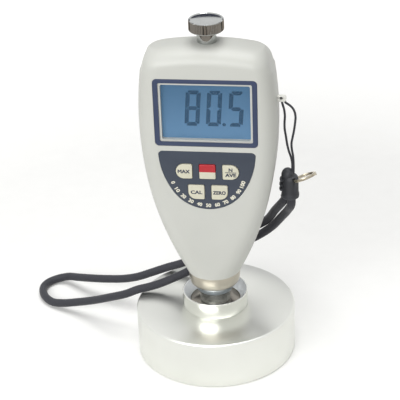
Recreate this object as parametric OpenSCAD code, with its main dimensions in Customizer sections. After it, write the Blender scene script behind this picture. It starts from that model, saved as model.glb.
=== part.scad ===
// Digital hardness tester standing in the seat ring of its round base, with a wrist strap.
// The origin is the centre of the base's underside, +Z is up and the front faces -Y.

/* [Base and seat] */
// Diameter of the base
base_d = 78; // [70:1:90]
// Height of the base
base_h = 24; // [18:1:32]
// Chamfer on the base's edges
base_chamfer = 0.6; // [0.4:0.1:1]
// Outer diameter of the seat ring
ring_d = 32; // [30:0.5:40]
// Height of the seat ring above the base
ring_h = 8; // [7:0.5:12]
// Width of the ring's flat lip
ring_lip = 0.6; // [0.4:0.1:1]
// Diameter of the seat's floor
floor_d = 24.4; // [20:0.2:26]
// Depth of the floor below the lip
floor_drop = 5.3; // [3:0.1:6]
// Depth to which the anvil is let into the base
anvil_sink = 2; // [1:0.5:5]
// Diameter of the relief hole under the indenter
relief_d = 5; // [4:0.5:8]

/* [Probe] */
// Diameter of the foot's nose
nose_d = 15; // [12:0.5:16]
// Length of the nose under the flange
nose_len = 6.2; // [5.5:0.1:8]
// Diameter of the foot's flange
foot_d = 18; // [17.5:0.5:20]
// Thickness of the flange
foot_h = 4.3; // [2:0.1:6]
// Hole in the foot for the indenter
foot_hole_d = 3; // [2.6:0.1:3.2]
// Length of the foot's spigot inside the barrel
spigot_len = 9.2; // [8:0.1:12]
// Diameter of the collar at its top
collar_d = 24.6; // [24:0.1:25.4]
// Height of the collar
collar_h = 7.1; // [6:0.1:10]
// Diameter of the collar's lower end
collar_foot_d = 22.2; // [20:0.1:24]
// Outer diameter of the barrel
barrel_d = 17; // [16:0.5:17.5]
// Bore of the barrel
barrel_bore = 13.6; // [12:0.2:14]
// Height of the barrel above the foot's flange
barrel_len = 26.8; // [24:0.2:30]
// Thickness of the barrel's cap
cap_t = 3; // [2:0.5:4]
// Thickness of the nut's wall at its flats
nut_wall = 1; // [0.6:0.1:1.2]
// Thickness of the nut
nut_t = 4; // [3:0.5:5]
// Length by which the indenter stands out of the foot
indenter_out = 2.5; // [2:0.1:3]
// Diameter of the indenter's shank
shank_d = 1.25; // [1:0.05:1.6]
// Diameter of the indenter's flat tip
tip_d = 0.79; // [0.5:0.01:0.9]
// Angle of the indenter's cone
tip_angle = 35; // [30:1:60]
// Diameter of the spindle's flange
spindle_flange_d = 11; // [9:0.5:11.5]
// Thickness of the spindle's flange
spindle_flange_t = 2; // [1:0.5:3]
// Diameter of the spring's coil, at the wire's centre
spring_d = 8.4; // [7:0.2:9]
// Diameter of the spring's wire
spring_wire = 1.1; // [0.8:0.1:1.3]
// Turns of the spring
spring_turns = 5; // [4:1:7]
// Diameter of the travel sensor
sensor_d = 11; // [9:0.5:13]
// Length of the travel sensor
sensor_len = 13; // [8:0.5:14]

/* [Case] */
// Width of the case
case_w = 64.3; // [63:0.1:70]
// Depth of the case
case_d = 26; // [26:0.5:30]
// Height of the case
case_h = 119.1; // [118:0.1:124]
// Height of the widest place above the case's lower end
belly_up = 81.7; // [78:0.1:84]
// Distance by which the case's lower end stands out over the collar
foot_lap = 0.2; // [0.1:0.05:0.5]
// Radius of the crowned top
crown_r = 130; // [120:5:220]
// Height of the rounding along the top's edges
top_r = 7.5; // [6:0.1:8.6]
// Width of that rounding at the sides
top_side_r = 2.4; // [2.3:0.1:6]
// Depth of that rounding at the front and back
top_front_r = 10; // [8:0.1:10.5]
// Rounding of the upright edges
corner_r = 8.1; // [7.6:0.1:10]
// Rounding of the lower end
foot_edge = 0.3; // [0.2:0.05:0.6]
// Thickness of the case's wall
wall = 2; // [1.6:0.1:2.4]
// Width of the thumb dimple
dimple_d = 18; // [10:1:20]
// Depth of the thumb dimple
dimple_t = 0.7; // [0.3:0.1:0.9]
// Height of the thumb dimple above the case's lower end
dimple_up = 26.5; // [22:0.5:27]
// Diameter of the case screws
screw_d = 2.5; // [2:0.1:3]
// Diameter of the screws' heads
screw_head_d = 4.6; // [4:0.1:5]
// Diameter of the screws' bosses
boss_d = 6; // [5.6:0.2:6.6]

/* [Display] */
// Width of the display's bezel
bezel_w = 47.6; // [44:0.2:48]
// Height of the display's bezel
bezel_h = 33.4; // [32:0.2:34]
// Height of the display's middle above the case's lower end
display_up = 88.8; // [88:0.1:89.4]
// Rounding of the bezel's corners
bezel_r = 2; // [1:0.1:3]
// Thickness of the front panels
panel_t = 0.6; // [0.4:0.1:0.8]
// Width of the opening in the bezel
view_w = 42.2; // [40:0.2:43]
// Height of the opening in the bezel
view_h = 28.6; // [27:0.2:29]
// Width of the case's rim inside the bezel
view_rim = 0.55; // [0.3:0.05:0.8]
// Thickness of the window
window_t = 0.8; // [0.6:0.1:1.2]
// Thickness of the liquid crystal panel
lcd_t = 2.2; // [1.6:0.1:2.6]
// Thickness of the backlight
light_t = 1.5; // [1:0.1:2]
// Thickness of the circuit board
board_t = 1.6; // [1:0.1:1.8]

/* [Keypad] */
// Half width of the keypad at its top
pad_half = 22.6; // [21:0.1:23]
// Height of the keypad's top above the case's lower end
pad_up = 69.4; // [68.8:0.1:69.8]
// Radius of the keypad's sides
pad_side_r = 38; // [34:0.5:44]
// Radius of the keypad's lower end
pad_tip_r = 19.2; // [18:0.1:20]
// Width of a key
key_w = 7.6; // [6.5:0.1:8]
// Height of a key
key_h = 7.4; // [6.5:0.1:8]
// Spacing of the keys across the keypad
key_pitch = 10.9; // [10.6:0.1:11.4]
// Spacing of the two rows
row_pitch = 10.75; // [10.4:0.05:11]
// Distance from the keypad's top to the upper row
row_drop = 10.2; // [9.6:0.1:10.6]
// Height by which the keys stand out
key_proud = 0.5; // [0.3:0.1:0.9]
// Travel of the keys
key_travel = 0.6; // [0.3:0.1:0.7]
// Width of a switch
switch_w = 4.5; // [3.5:0.1:5]

/* [Battery bay] */
// Diameter of a cell
cell_d = 10.5; // [10:0.1:10.6]
// Length of a cell without its nub
cell_len = 43.7; // [42:0.1:44]
// Height of a cell's nub
cell_nub = 0.8; // [0.6:0.1:1]
// Number of cells
cell_count = 4; // [2:1:4]
// Room for the contact at each end of a cell
contact_gap = 2.4; // [2:0.1:2.8]
// Height of the bay's floor above the case's lower end
bay_up = 43.7; // [42.5:0.1:44]
// Width of the battery door
door_w = 41; // [38:0.5:41.5]
// Thickness of the bay's walls
bay_wall = 1.2; // [0.8:0.1:1.6]
// Diameter of the door's pivots
pivot_d = 1.2; // [0.8:0.1:1.3]
// Length of the door's pivots
pivot_len = 1.2; // [0.8:0.1:1.4]

/* [Thumb screw] */
// Diameter of the knob
knob_d = 16; // [13:0.5:22]
// Thickness of the knob
knob_h = 4.6; // [3.5:0.1:8]
// Diameter of the neck
neck_d = 8.9; // [8:0.1:11]
// Height of the neck
neck_h = 5.5; // [4:0.1:12]
// Diameter of the stud
stud_d = 6; // [4:0.5:7]
// Number of ridges on the knob
knurl_count = 60; // [30:1:72]
// Depth of the ridges
knurl_t = 0.3; // [0.2:0.05:0.5]
// Chamfer on the knob's edges
knob_chamfer = 0.5; // [0.3:0.1:1]
// Diameter of the bush in the case's top
bush_d = 12; // [10:0.5:14]
// Length of the bush
bush_len = 8; // [6:0.5:9]

/* [Strap] */
// Height of the lug above the case's lower end
lug_up = 91.9; // [88:0.1:96]
// Height of the lug
lug_h = 2.4; // [2.2:0.1:4]
// Width of the lug, front to back
lug_t = 2.6; // [2.4:0.1:4]
// Distance from the case to the string's middle
lug_reach = 2.1; // [1.8:0.05:2.4]
// Distance from the string's middle to the lug's end
lug_end = 1.6; // [1.4:0.1:2]
// Rounding of the lug's end
lug_r = 0.8; // [0.4:0.1:1]
// Hole in the front of the lug
lug_hole_d = 1.2; // [0.8:0.1:1.4]
// Diameter of the string
string_d = 0.9; // [0.7:0.05:1]
// Diameter of the wrist cord
cord_d = 4; // [3:0.1:4.2]
// Diameter of the strap's sleeve
sleeve_d = 8; // [7.6:0.1:9]
// Diameter of the sleeve's flared end
sleeve_rim_d = 8.8; // [8.4:0.1:10]
// Outer diameter of the split ring
split_d = 11.6; // [10:0.2:14]
// Width of the split ring's wire
split_wire = 1.1; // [0.8:0.1:1.4]
// Height of the split ring's two turns
split_h = 1.8; // [1.2:0.1:2.4]
// Rise of the split ring to the right
split_lean = 22; // [0:1:30]
// Dip of the split ring to the back
split_dip = 14; // [0:1:20]

/* [Clearances] */
// Play of sliding and turning pieces
slide_play = 0.05; // [0.02:0.01:0.1]
// Play of pieces set into one another
seat_play = 0.1; // [0.05:0.05:0.2]
// Gap round the keys and the battery door
edge_gap = 0.25; // [0.2:0.05:0.4]

/* [Hidden] */
$fn = 64;

// Small edges and steps of the turned pieces
ring_chamfer = 0.3;
foot_chamfer = 0.4;
collar_chamfer = 0.3;
shank_up = 1;
shank_taper = 1;
spindle_short = 1;
sensor_end_t = 1.5;
sensor_middle_t = 1;
winding_t = 1;
nut_af = barrel_d + 2*nut_wall;

// Overlap of features that are moulded as one piece
weld = 0.2;

// Heights up the axis, from the floor of the seat to the top of the case
floor_z = base_h + ring_h - floor_drop;
flange_z = floor_z + nose_len;
collar_z = flange_z + foot_h;
case_z = collar_z + collar_h;
top_z = case_z + case_h;
stop_z = collar_z + spigot_len;
barrel_z = collar_z + barrel_len;
sensor_z = barrel_z + cap_t;

// The case's sides are arcs from its widest place to a lower end that covers the collar
foot_half = collar_d/2 + foot_lap;
side_drop = case_w/2 - foot_half;
side_r = (pow(belly_up, 2) + pow(side_drop, 2))/(2*side_drop);
round_share = 0.4;
section_flat = 0.5;
shoulder_gap = 1;

// Planes through the case's depth, from the front face to the board
front_y = -case_d/2;
inner_y = front_y + wall;
lcd_y = inner_y + window_t;
light_y = lcd_y + lcd_t;
board_y = light_y + light_t;

// Places on the front
display_z = case_z + display_up;
pad_z = case_z + pad_up;
upper_row_z = pad_z - row_drop;
lower_row_z = upper_row_z - row_pitch;
view_r = 0.8;
window_lap = 1;
lcd_lap = 0.6;
light_lap = 0.2;
pad_corner_r = 2;
key_edge_r = 0.6;
key_flange = 0.5;
key_flange_t = 0.8;
key_room = 2.4;
stem_d = 3;
switch_h = board_y - inner_y - key_room;
switch_button_d = 2.4;
switch_button_h = 0.4;

// The board and its posts stand between the two rows of case screws
board_w = 48;
post_d = 2.8;
post_gap = 1.8;
post_inset = 3.6;
board_over = 2.1;
board_under = 28.8;
board_top_z = display_z + bezel_h/2 + board_over;
board_foot_z = pad_z - board_under;

// The battery bay
bay_z = case_z + bay_up;
bay_len = cell_len + cell_nub + 2*contact_gap;
cell_gap = 0.1;
cell_side_gap = 0.2;
cell_door_gap = 0.4;
cell_back_gap = 0.3;
nub_d = 3.8;
cell_pitch = cell_d + cell_gap;
bay_w = cell_count*cell_pitch + 2*cell_side_gap;
cell_y = case_d/2 - wall - cell_d/2 - cell_door_gap;
bay_y = cell_y - cell_d/2 - cell_back_gap;
contact_w = 8;
contact_t = 0.4;
contact_nub_d = 3;
contact_coil_d = 7.2;
contact_coil_top_d = 4.8;
contact_wire = 0.7;
door_t = wall;
door_top_z = bay_z + bay_len;
pivot_y = case_d/2 - door_t/2;
pivot_z = door_top_z - door_t/2;
notch_d = 12;
notch_t = 0.9;
groove_count = 6;
groove_up = 5.4;
groove_pitch = 1.6;
groove_w = 0.8;
groove_t = 0.4;
groove_len = 14;
groove_step = 2;

// Case screws: sideways place, height and reach of the bosses from the parting plane
screw_high_x = 22;
screw_high_drop = 7.9;
screw_low_x = 13.5;
screw_low_up = 23.7;
screw_low_z = case_z + screw_low_up;
boss_short = 1;
screw_places = [for (side = [-1, 1]) each [
    [side*screw_high_x, top_z - screw_high_drop, case_d/2 - wall - boss_short],
    [side*screw_low_x, screw_low_z, half_depth(screw_low_z) - wall + weld]]];
screw_seat = 2;
screw_tip = 7;
screw_room = 0.3;
screw_head_t = 1.6;
slot_len = 2.6;
slot_w = 0.5;
slot_t = 0.8;

// The thumb screw, and its bush in a saddle under the crowned top
neck_z = top_z;
bush_z = top_z - wall - crown(bush_d) - bush_len;
saddle_wall = 1.6;
knob_z = neck_z + neck_h;
knob_cover = 1.6;
stud_top = knob_h - knob_cover;
stud_chamfer = 0.5;

// The strap's route, point by point
lug_z = case_z + lug_up;
lug_root = 1.8;
lug_root_t = 1.5;
lug_root_lip = 1;
lug_web = 0.2;
string_x = side_x(lug_z) + lug_reach;
string_gap = 1.3;
string_inner_route = [[string_x - string_gap/2, 0.3, lug_z], [string_x - string_gap/2, 1.6, lug_z],
    [33.3, 2.8, 135], [33.45, 3.6, 132.5], [34.1, 4.4, 128.6], [34.6, 5, 124.5], [34.45, 5, 120.6],
    [34.5, 5, 117.6], [35.05, 5, 113.9], [35.7, 5, 109.4], [36.5, 5, 106], [37.4, 5, 103.2],
    [37.9, 5, 100.3], [37.9, 5, 96.2]];
string_outer_route = [[string_x + string_gap/2, 0.3, lug_z], [string_x + string_gap/2, 1.6, lug_z],
    [34.8, 2.6, 135.2], [35.5, 3.3, 132.9], [36.95, 4.1, 130.8], [38.4, 4.7, 128.6], [39.25, 5, 126.3],
    [39.65, 5, 124], [39.4, 5, 120.7], [38.85, 5, 116.8], [38.2, 5, 113.4], [37.75, 5, 110.5],
    [37.9, 5, 107.1], [38.45, 5, 103.7], [38.85, 5, 100.3], [38.85, 5, 96.2]];
sleeve_at = [36.95, 5, 82];
sleeve_len = 15.3;
sleeve_rim_h = 1.6;
sleeve_flare_h = 1.2;
cord_route = [[37.6, 3.4, 82], [37.6, 3.4, 79.8], [35.6, 8.4, 73], [32, 13, 66.3], [26.8, 16.5, 58.6],
    [19.5, 19, 51.7], [11, 20, 46.6], [3, 19.6, 42.6], [-4, 18, 39.2], [-11, 15.2, 35.8],
    [-16.2, 11.6, 33.2], [-19.2, 10.7, 32], [-24.4, 9.3, 30], [-29.3, 8.3, 28.1], [-34.5, 7, 26.7],
    [-39.6, 5.6, 25.7], [-46, 6.6, 22.4], [-55.3, 10.5, 17.4], [-64.9, 15.4, 12], [-75.8, 20.8, 7],
    [-86.1, 24.9, 3.4], [-90.6, 27, 2.4], [-94.4, 30.6, 2.2], [-97.5, 37.2, 2.2], [-98, 43.4, 2.2],
    [-96, 47.8, 2.3], [-91, 49.6, 3.4], [-84.6, 48.2, 5.4], [-72.1, 41, 9.4], [-61, 36, 12.5],
    [-52.1, 32.5, 15.2], [-44.7, 30, 18.2], [-36.4, 29, 22], [-28.8, 28.5, 25.4], [-20.1, 28, 28.9],
    [-9, 27.2, 35.8], [1.7, 25.8, 43.4], [13, 23.2, 52], [23.9, 19.2, 60.6], [29.2, 13, 70.4],
    [33.2, 7.6, 77.8], [34.3, 6.6, 79.8], [34.3, 6.6, 82]];
split_at = sleeve_at + [7.05, -2.4, 12];

// Points of an arc, with the same number of steps whatever its length
function arc(x, y, r, from, to, steps = 8) =
    [for (i = [0:steps]) [x + r*cos(from + (to - from)*i/steps), y + r*sin(from + (to - from)*i/steps)]];

// Outline of a rectangle with four corner radii, from the lower left anticlockwise
function round_box(w, h, r) = concat(
    arc(-w/2 + r[0], -h/2 + r[0], r[0], 180, 270), arc(w/2 - r[1], -h/2 + r[1], r[1], 270, 360),
    arc(w/2 - r[2], h/2 - r[2], r[2], 0, 90), arc(-w/2 + r[3], h/2 - r[3], r[3], 90, 180));

// Half width of the case at a height, and the drop of its crowned top away from the middle
function side_x(z) = case_w/2 - side_r + sqrt(pow(side_r, 2) - pow(z - case_z - belly_up, 2));
function crown(x) = crown_r - sqrt(pow(crown_r, 2) - pow(x, 2));

// Corner radius and half depth of the case's section: round at the foot, a soft slab from the keypad up
function slab_share(z) = min(1, max(0, (z - case_z)/(round_share*case_h)));
function round_part(z) = pow(1 - slab_share(z), 1.5);
function section_r(z) = corner_r + (foot_half - corner_r)*round_part(z);
function half_depth(z) = case_d/2 + (foot_half - case_d/2)*round_part(z);

// Front half of the case's section at a height, right to left, closing at depth lap
function half_section(w, d, r, lap, steps, spans) = concat(
    [[w, lap]],
    arc(w - r, r - d, r, 0, -90, steps),
    [for (i = [1:spans - 1]) [(w - r)*(1 - 2*i/spans), -d]],
    arc(r - w, r - d, r, -90, -180, steps),
    [[-w, lap]]);

// Rows of the case's loft: height, inset at the sides and at the front, whether the row is crowned
function case_rows(inset, walls, rounds) =
    let (low = case_z + inset, edge = inset > 0 ? 0 : foot_edge, high = top_z - inset, rise = top_r - inset)
    let (side = top_side_r - inset, deep = top_front_r - inset)
    let (shoulder = high - rise - crown(side_x(high - rise)) - shoulder_gap)
    concat(
        edge > 0 ? [for (a = [90, 45]) let (step = edge*(1 - cos(a)))
            [low + edge*(1 - sin(a)), step, step, 0]] : [],
        [for (i = [0:walls]) [low + edge + (shoulder - low - edge)*i/walls, 0, 0, 0]],
        [for (i = [0:rounds]) let (a = 90*i/rounds)
            [high - rise*(1 - sin(a)), side*(1 - cos(a)), deep*(1 - cos(a)), 1]]);

// Front half of the section at a row, with its corners kept inside its width and depth
function row_section(row, inset, lap, steps, spans) =
    let (w = side_x(row[0]) - inset - row[1], d = half_depth(row[0]) - inset - row[2])
    half_section(w, d, min(section_r(row[0]) - inset - row[1], w - section_flat, d - section_flat),
        lap, steps, spans);

// Solid front half of the case, set in from its outer skin, as one loft from the round foot to the top
module case_half(inset, lap, walls, rounds, steps, spans) {
    rows = case_rows(inset, walls, rounds);
    sections = [for (row = rows) row_section(row, inset, lap, steps, spans)];
    skin = [for (i = [0:len(rows) - 1]) for (p = sections[i])
        [p[0], p[1], rows[i][0] - rows[i][3]*crown(p[0])]];
    last = len(rows) - 1;
    n = len(sections[0]);
    top = last*n;
    ridge = [for (j = [2:n - 3]) let (p = skin[top + j]) [p[0], lap, p[2]]];
    ridge_at = len(skin) - 2;
    sides = [for (i = [0:last - 1]) for (j = [0:n - 2]) let (a = i*n + j) each
        [[a, a + 1, a + n + 1], [a, a + n + 1, a + n]]];
    roof = concat([[top + 1, top + 2, ridge_at + 2, top]],
        [for (j = [2:n - 4]) [top + j, top + j + 1, ridge_at + j + 1, ridge_at + j]],
        [[top + n - 3, top + n - 2, top + n - 1, ridge_at + n - 3]]);
    sole = [[for (j = [n - 1:-1:0]) j]];
    back = [concat([for (i = [0:last]) i*n], [for (j = [2:n - 3]) ridge_at + j],
        [for (i = [last:-1:0]) i*n + n - 1])];
    polyhedron(concat(skin, ridge), concat(sides, roof, sole, back));
}

module case_outer() {
    case_half(0, 0, 13, 6, 7, 6);
}

module case_inner() {
    case_half(wall, 1, 8, 4, 4, 4);
}

// A shape drawn on the front, from a depth and towards the back
module slab(y, t) {
    translate([0, y + t, 0])
        rotate([90, 0, 0])
            linear_extrude(t)
                children();
}

// A rod along Y between two depths
module rod_y(d, x, z, from, to) {
    translate([x, from, z])
        rotate([-90, 0, 0])
            cylinder(d = d, h = to - from);
}

// Outline of the keypad: a straight top, two long arcs and a round lower end
module pad_outline(grow) {
    reach = pad_side_r - pad_half;
    turn = acos(reach/(pad_side_r - pad_tip_r));
    start = asin(pad_corner_r/pad_side_r);
    tip_z = pad_z - (pad_side_r - pad_tip_r)*sin(turn);
    polygon(concat(
        arc(pad_half - pad_corner_r, pad_z - pad_corner_r, pad_corner_r + grow, 90, 0),
        arc(-reach, pad_z, pad_side_r + grow, -start, -turn),
        arc(0, tip_z, pad_tip_r + grow, -turn - 6, turn - 174, 12),
        arc(reach, pad_z, pad_side_r + grow, turn - 180, start - 180),
        arc(pad_corner_r - pad_half, pad_z - pad_corner_r, pad_corner_r + grow, 180, 90)));
}

// Outline of a key: its place in columns from the middle, its row and its four corner radii
module key_outline(key, grow) {
    r = [for (share = key[2]) key_edge_r + grow + share*(key_h/2 - key_edge_r)];
    translate([key[0]*key_pitch, key[1]])
        polygon(round_box(key_w + 2*grow, key_h + 2*grow, r));
}

hold_place = [-1, upper_row_z, [1, 0, 0, 1]];
power_place = [0, upper_row_z, [0, 0, 0, 0]];
average_place = [1, upper_row_z, [0, 1, 1, 0]];
set_place = [-0.5, lower_row_z, [1, 0, 0, 0]];
zero_place = [0.5, lower_row_z, [0, 1, 0, 0]];
key_places = [hold_place, power_place, average_place, set_place, zero_place];

module view_outline(grow) {
    translate([0, display_z])
        polygon(round_box(view_w + 2*grow, view_h + 2*grow, [for (i = [0:3]) view_r]));
}

module bezel_outline(grow) {
    translate([0, display_z])
        polygon(round_box(bezel_w + 2*grow, bezel_h + 2*grow, [for (i = [0:3]) bezel_r + grow]));
}

// Rings of a tube along a route, each square to the line between its neighbours
function along(route, i) =
    let (d = route[min(i + 1, len(route) - 1)] - route[max(i - 1, 0)]) d/norm(d);
function tube_ring(p, d, r, sides) =
    let (u = cross(d, abs(d[2]) > 0.8 ? [0, 1, 0] : [0, 0, 1]), a = u/norm(u), b = cross(d, a))
    [for (i = [0:sides - 1]) p + r*cos(360*i/sides)*a + r*sin(360*i/sides)*b];
function tube_faces(rings, sides) = concat(
    [[for (j = [0:sides - 1]) j]],
    [for (i = [0:rings - 2]) for (j = [0:sides - 1])
        let (a = i*sides + j, b = i*sides + (j + 1)%sides) each
            [[a, a + sides, b], [b, a + sides, b + sides]]],
    [[for (j = [sides - 1:-1:0]) (rings - 1)*sides + j]]);

// A round tube along a route
module tube(route, d, sides) {
    points = [for (i = [0:len(route) - 1]) each tube_ring(route[i], along(route, i), d/2, sides)];
    polyhedron(points, tube_faces(len(route), sides));
}

// A coil spring that stands on z = 0, with its radius changing from end to end
module coil(r_low, r_high, h, wire, turns, steps, sides) {
    n = turns*steps;
    route = [for (i = [0:n]) let (r = r_low + (r_high - r_low)*i/n, a = 360*i/steps)
        [r*cos(a), r*sin(a), wire/2 + (h - wire)*i/n]];
    tube(route, wire, sides);
}

module base_block() {
    color("#d6d7d1")
        difference() {
            rotate_extrude()
                polygon([[0, 0], [base_d/2 - base_chamfer, 0], [base_d/2, base_chamfer],
                    [base_d/2, base_h - base_chamfer], [base_d/2 - base_chamfer, base_h], [0, base_h]]);
            translate([0, 0, base_h - anvil_sink])
                cylinder(d = floor_d, h = anvil_sink + 1);
        }
}

module seat_ring() {
    color("#dfe0dc")
        rotate_extrude()
            polygon([[floor_d/2, base_h], [ring_d/2, base_h], [ring_d/2, base_h + ring_h - ring_chamfer],
                [ring_d/2 - ring_chamfer, base_h + ring_h], [ring_d/2 - ring_lip, base_h + ring_h],
                [floor_d/2, floor_z]]);
}

module anvil() {
    color("#6c6a66")
        translate([0, 0, base_h - anvil_sink])
            difference() {
                cylinder(d = floor_d - 2*seat_play, h = floor_z - base_h + anvil_sink);
                translate([0, 0, -1])
                    cylinder(d = relief_d, h = floor_z);
            }
}

module pressure_foot() {
    color("#9aa1a3")
        difference() {
            rotate_extrude()
                polygon([[0, floor_z], [nose_d/2 - foot_chamfer, floor_z],
                    [nose_d/2, floor_z + foot_chamfer],
                    [nose_d/2, flange_z], [foot_d/2 - foot_chamfer, flange_z],
                    [foot_d/2, flange_z + foot_chamfer],
                    [foot_d/2, collar_z], [barrel_bore/2 - seat_play, collar_z],
                    [barrel_bore/2 - seat_play, stop_z], [0, stop_z]]);
            translate([0, 0, floor_z - 1])
                cylinder(d = foot_hole_d, h = stop_z - floor_z + 2);
        }
}

module probe_collar() {
    bore = barrel_d/2 + seat_play;
    color("#c3b8a6")
        rotate_extrude()
            polygon([[bore, collar_z], [collar_foot_d/2 - collar_chamfer, collar_z],
                [collar_foot_d/2, collar_z + collar_chamfer], [collar_d/2, case_z], [bore, case_z]]);
}

module probe_barrel() {
    color("#a9acab")
        translate([0, 0, collar_z])
            difference() {
                cylinder(d = barrel_d, h = barrel_len);
                translate([0, 0, -1])
                    cylinder(d = barrel_bore, h = barrel_len + 2);
            }
}

module barrel_nut() {
    color("#b4a36b")
        translate([0, 0, case_z + wall])
            difference() {
                cylinder(d = nut_af/cos(30), h = nut_t, $fn = 6);
                translate([0, 0, -1])
                    cylinder(d = barrel_d + 2*seat_play, h = nut_t + 2);
            }
}

module barrel_cap() {
    color("#8f9496")
        translate([0, 0, barrel_z])
            difference() {
                cylinder(d = barrel_d, h = cap_t);
                translate([0, 0, -1])
                    cylinder(d = foot_hole_d + 2*slide_play, h = cap_t + 2);
            }
}

module indenter() {
    tip_z = floor_z - indenter_out;
    cone_z = tip_z + (shank_d - tip_d)/2/tan(tip_angle/2);
    rod_r = foot_hole_d/2 - slide_play;
    flange_low = stop_z + slide_play;
    shank_z = floor_z + shank_up;
    spindle_z = sensor_z + sensor_len - spindle_short;
    color("#70757a")
        rotate_extrude()
            polygon([[0, tip_z], [tip_d/2, tip_z], [shank_d/2, cone_z], [shank_d/2, shank_z],
                [rod_r, shank_z + shank_taper], [rod_r, flange_low], [spindle_flange_d/2, flange_low],
                [spindle_flange_d/2, flange_low + spindle_flange_t], [rod_r, flange_low + spindle_flange_t],
                [rod_r, spindle_z], [0, spindle_z]]);
}

module indenter_spring() {
    low = stop_z + slide_play + spindle_flange_t;
    color("#b9bcbd")
        translate([0, 0, low + seat_play])
            coil(spring_d/2, spring_d/2, barrel_z - low - 2*seat_play, spring_wire, spring_turns, 14, 6);
}

module travel_sensor() {
    winding_len = (sensor_len - sensor_middle_t)/2 - sensor_end_t;
    color("#7d4a2c")
        translate([0, 0, sensor_z])
            difference() {
                cylinder(d = sensor_d, h = sensor_len);
                translate([0, 0, -1])
                    cylinder(d = foot_hole_d + 2*slide_play, h = sensor_len + 2);
                for (z = [sensor_end_t, sensor_end_t + winding_len + sensor_middle_t])
                    translate([0, 0, z])
                        difference() {
                            cylinder(d = sensor_d + 1, h = winding_len);
                            translate([0, 0, -1])
                                cylinder(d = sensor_d - 2*winding_t, h = winding_len + 2);
                        }
            }
}

// Half of the saddle that holds the bush, on the front side
module saddle() {
    difference() {
        translate([0, 0, bush_z])
            cylinder(d = bush_d + 2*saddle_wall, h = top_z - wall/2 - bush_z);
        translate([-bush_d, 0, bush_z - 1])
            cube([2*bush_d, bush_d, bush_len + 2*wall]);
    }
}

// Hole for the barrel, hole for the stud and slot for the strap's lug, shared by the two shells
module case_ports() {
    translate([0, 0, case_z - 1])
        cylinder(d = barrel_d + 2*seat_play, h = wall + 2);
    translate([0, 0, bush_z - 1])
        cylinder(d = stud_d + 2*seat_play, h = bush_len + 2*wall);
    translate([0, 0, bush_z - 1])
        cylinder(d = bush_d + 2*slide_play, h = bush_len + 1 + slide_play);
    translate([side_x(lug_z) - wall - 1, -lug_t/2 - seat_play, lug_z - lug_h/2 - seat_play])
        cube([wall + 3, lug_t + 2*seat_play, lug_h + 2*seat_play]);
}

module front_shell() {
    color("#d0d1c9")
        difference() {
            union() {
                difference() {
                    case_outer();
                    case_inner();
                }
                for (s = screw_places)
                    rod_y(boss_d, s[0], s[1], -s[2], 0);
                for (x = [-1, 1], z = [board_top_z - post_gap, pad_z + post_gap])
                    rod_y(post_d, x*(board_w/2 - post_inset), z, inner_y - weld, board_y);
                saddle();
            }
            for (s = screw_places)
                rod_y(screw_d + 2*slide_play, s[0], s[1], -screw_tip - screw_room, 1);
            slab(front_y - 1, panel_t + 1) {
                bezel_outline(seat_play);
                pad_outline(seat_play);
            }
            slab(front_y - 1, wall + 2)
                view_outline(-view_rim);
            slab(front_y - 1, wall + 2)
                for (key = key_places)
                    key_outline(key, edge_gap);
            dimple();
            case_ports();
        }
}

// Ball that cuts the shallow thumb dimple
module dimple() {
    ball_r = (pow(dimple_d/2, 2) + pow(dimple_t, 2))/(2*dimple_t);
    dimple_z = case_z + dimple_up;
    translate([0, dimple_t - half_depth(dimple_z) - ball_r, dimple_z])
        sphere(r = ball_r, $fn = 96);
}

module rear_shell() {
    color("#cccdc5")
        difference() {
            union() {
                difference() {
                    mirror([0, 1, 0])
                        case_outer();
                    mirror([0, 1, 0])
                        case_inner();
                }
                for (s = screw_places)
                    rod_y(boss_d, s[0], s[1], 0, s[2]);
                mirror([0, 1, 0])
                    saddle();
                translate([-bay_w/2 - bay_wall, bay_y - bay_wall, bay_z - bay_wall])
                    cube([bay_w + 2*bay_wall, case_d/2 - wall + weld - bay_y + bay_wall,
                        bay_len + 2*bay_wall]);
            }
            for (s = screw_places) {
                rod_y(screw_d + 2*seat_play, s[0], s[1], -1, case_d/2);
                rod_y(screw_head_d + 2*seat_play, s[0], s[1], s[2] - screw_seat, case_d);
            }
            translate([-bay_w/2, bay_y, bay_z])
                cube([bay_w, case_d/2 - wall - bay_y, bay_len]);
            translate([-door_w/2 - edge_gap, bay_y, bay_z - edge_gap])
                cube([door_w + 2*edge_gap, case_d, bay_len + 2*edge_gap]);
            translate([-door_w/2 - edge_gap - pivot_len, pivot_y, pivot_z])
                rotate([0, 90, 0])
                    cylinder(d = pivot_d + 2*slide_play, h = door_w + 2*(edge_gap + pivot_len));
            rod_y(notch_d, 0, bay_z - edge_gap, case_d/2 - notch_t, case_d);
            case_ports();
        }
}

module case_screws() {
    color("#8a8d8f")
        for (s = screw_places)
            difference() {
                union() {
                    rod_y(screw_d, s[0], s[1], -screw_tip, s[2] - screw_seat + weld);
                    rod_y(screw_head_d, s[0], s[1], s[2] - screw_seat, s[2] - screw_seat + screw_head_t);
                }
                for (turn = [0, 90])
                    translate([s[0], s[2] - screw_seat + screw_head_t, s[1]])
                        rotate([0, turn, 0])
                            cube([slot_len, 2*slot_t, slot_w], center = true);
            }
}

module battery_door() {
    color("#cccdc5")
        difference() {
            union() {
                translate([-door_w/2, pivot_y - door_t/2, bay_z])
                    cube([door_w, door_t, pivot_z - bay_z]);
                translate([-door_w/2, pivot_y, pivot_z])
                    rotate([0, 90, 0])
                        cylinder(d = door_t, h = door_w);
                translate([-door_w/2 - pivot_len, pivot_y, pivot_z])
                    rotate([0, 90, 0])
                        cylinder(d = pivot_d, h = door_w + 2*pivot_len);
            }
            for (i = [0:groove_count - 1])
                translate([0, case_d/2, bay_z + groove_up + groove_pitch*i])
                    cube([groove_len - groove_step*i, 2*groove_t, groove_w], center = true);
        }
}

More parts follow.
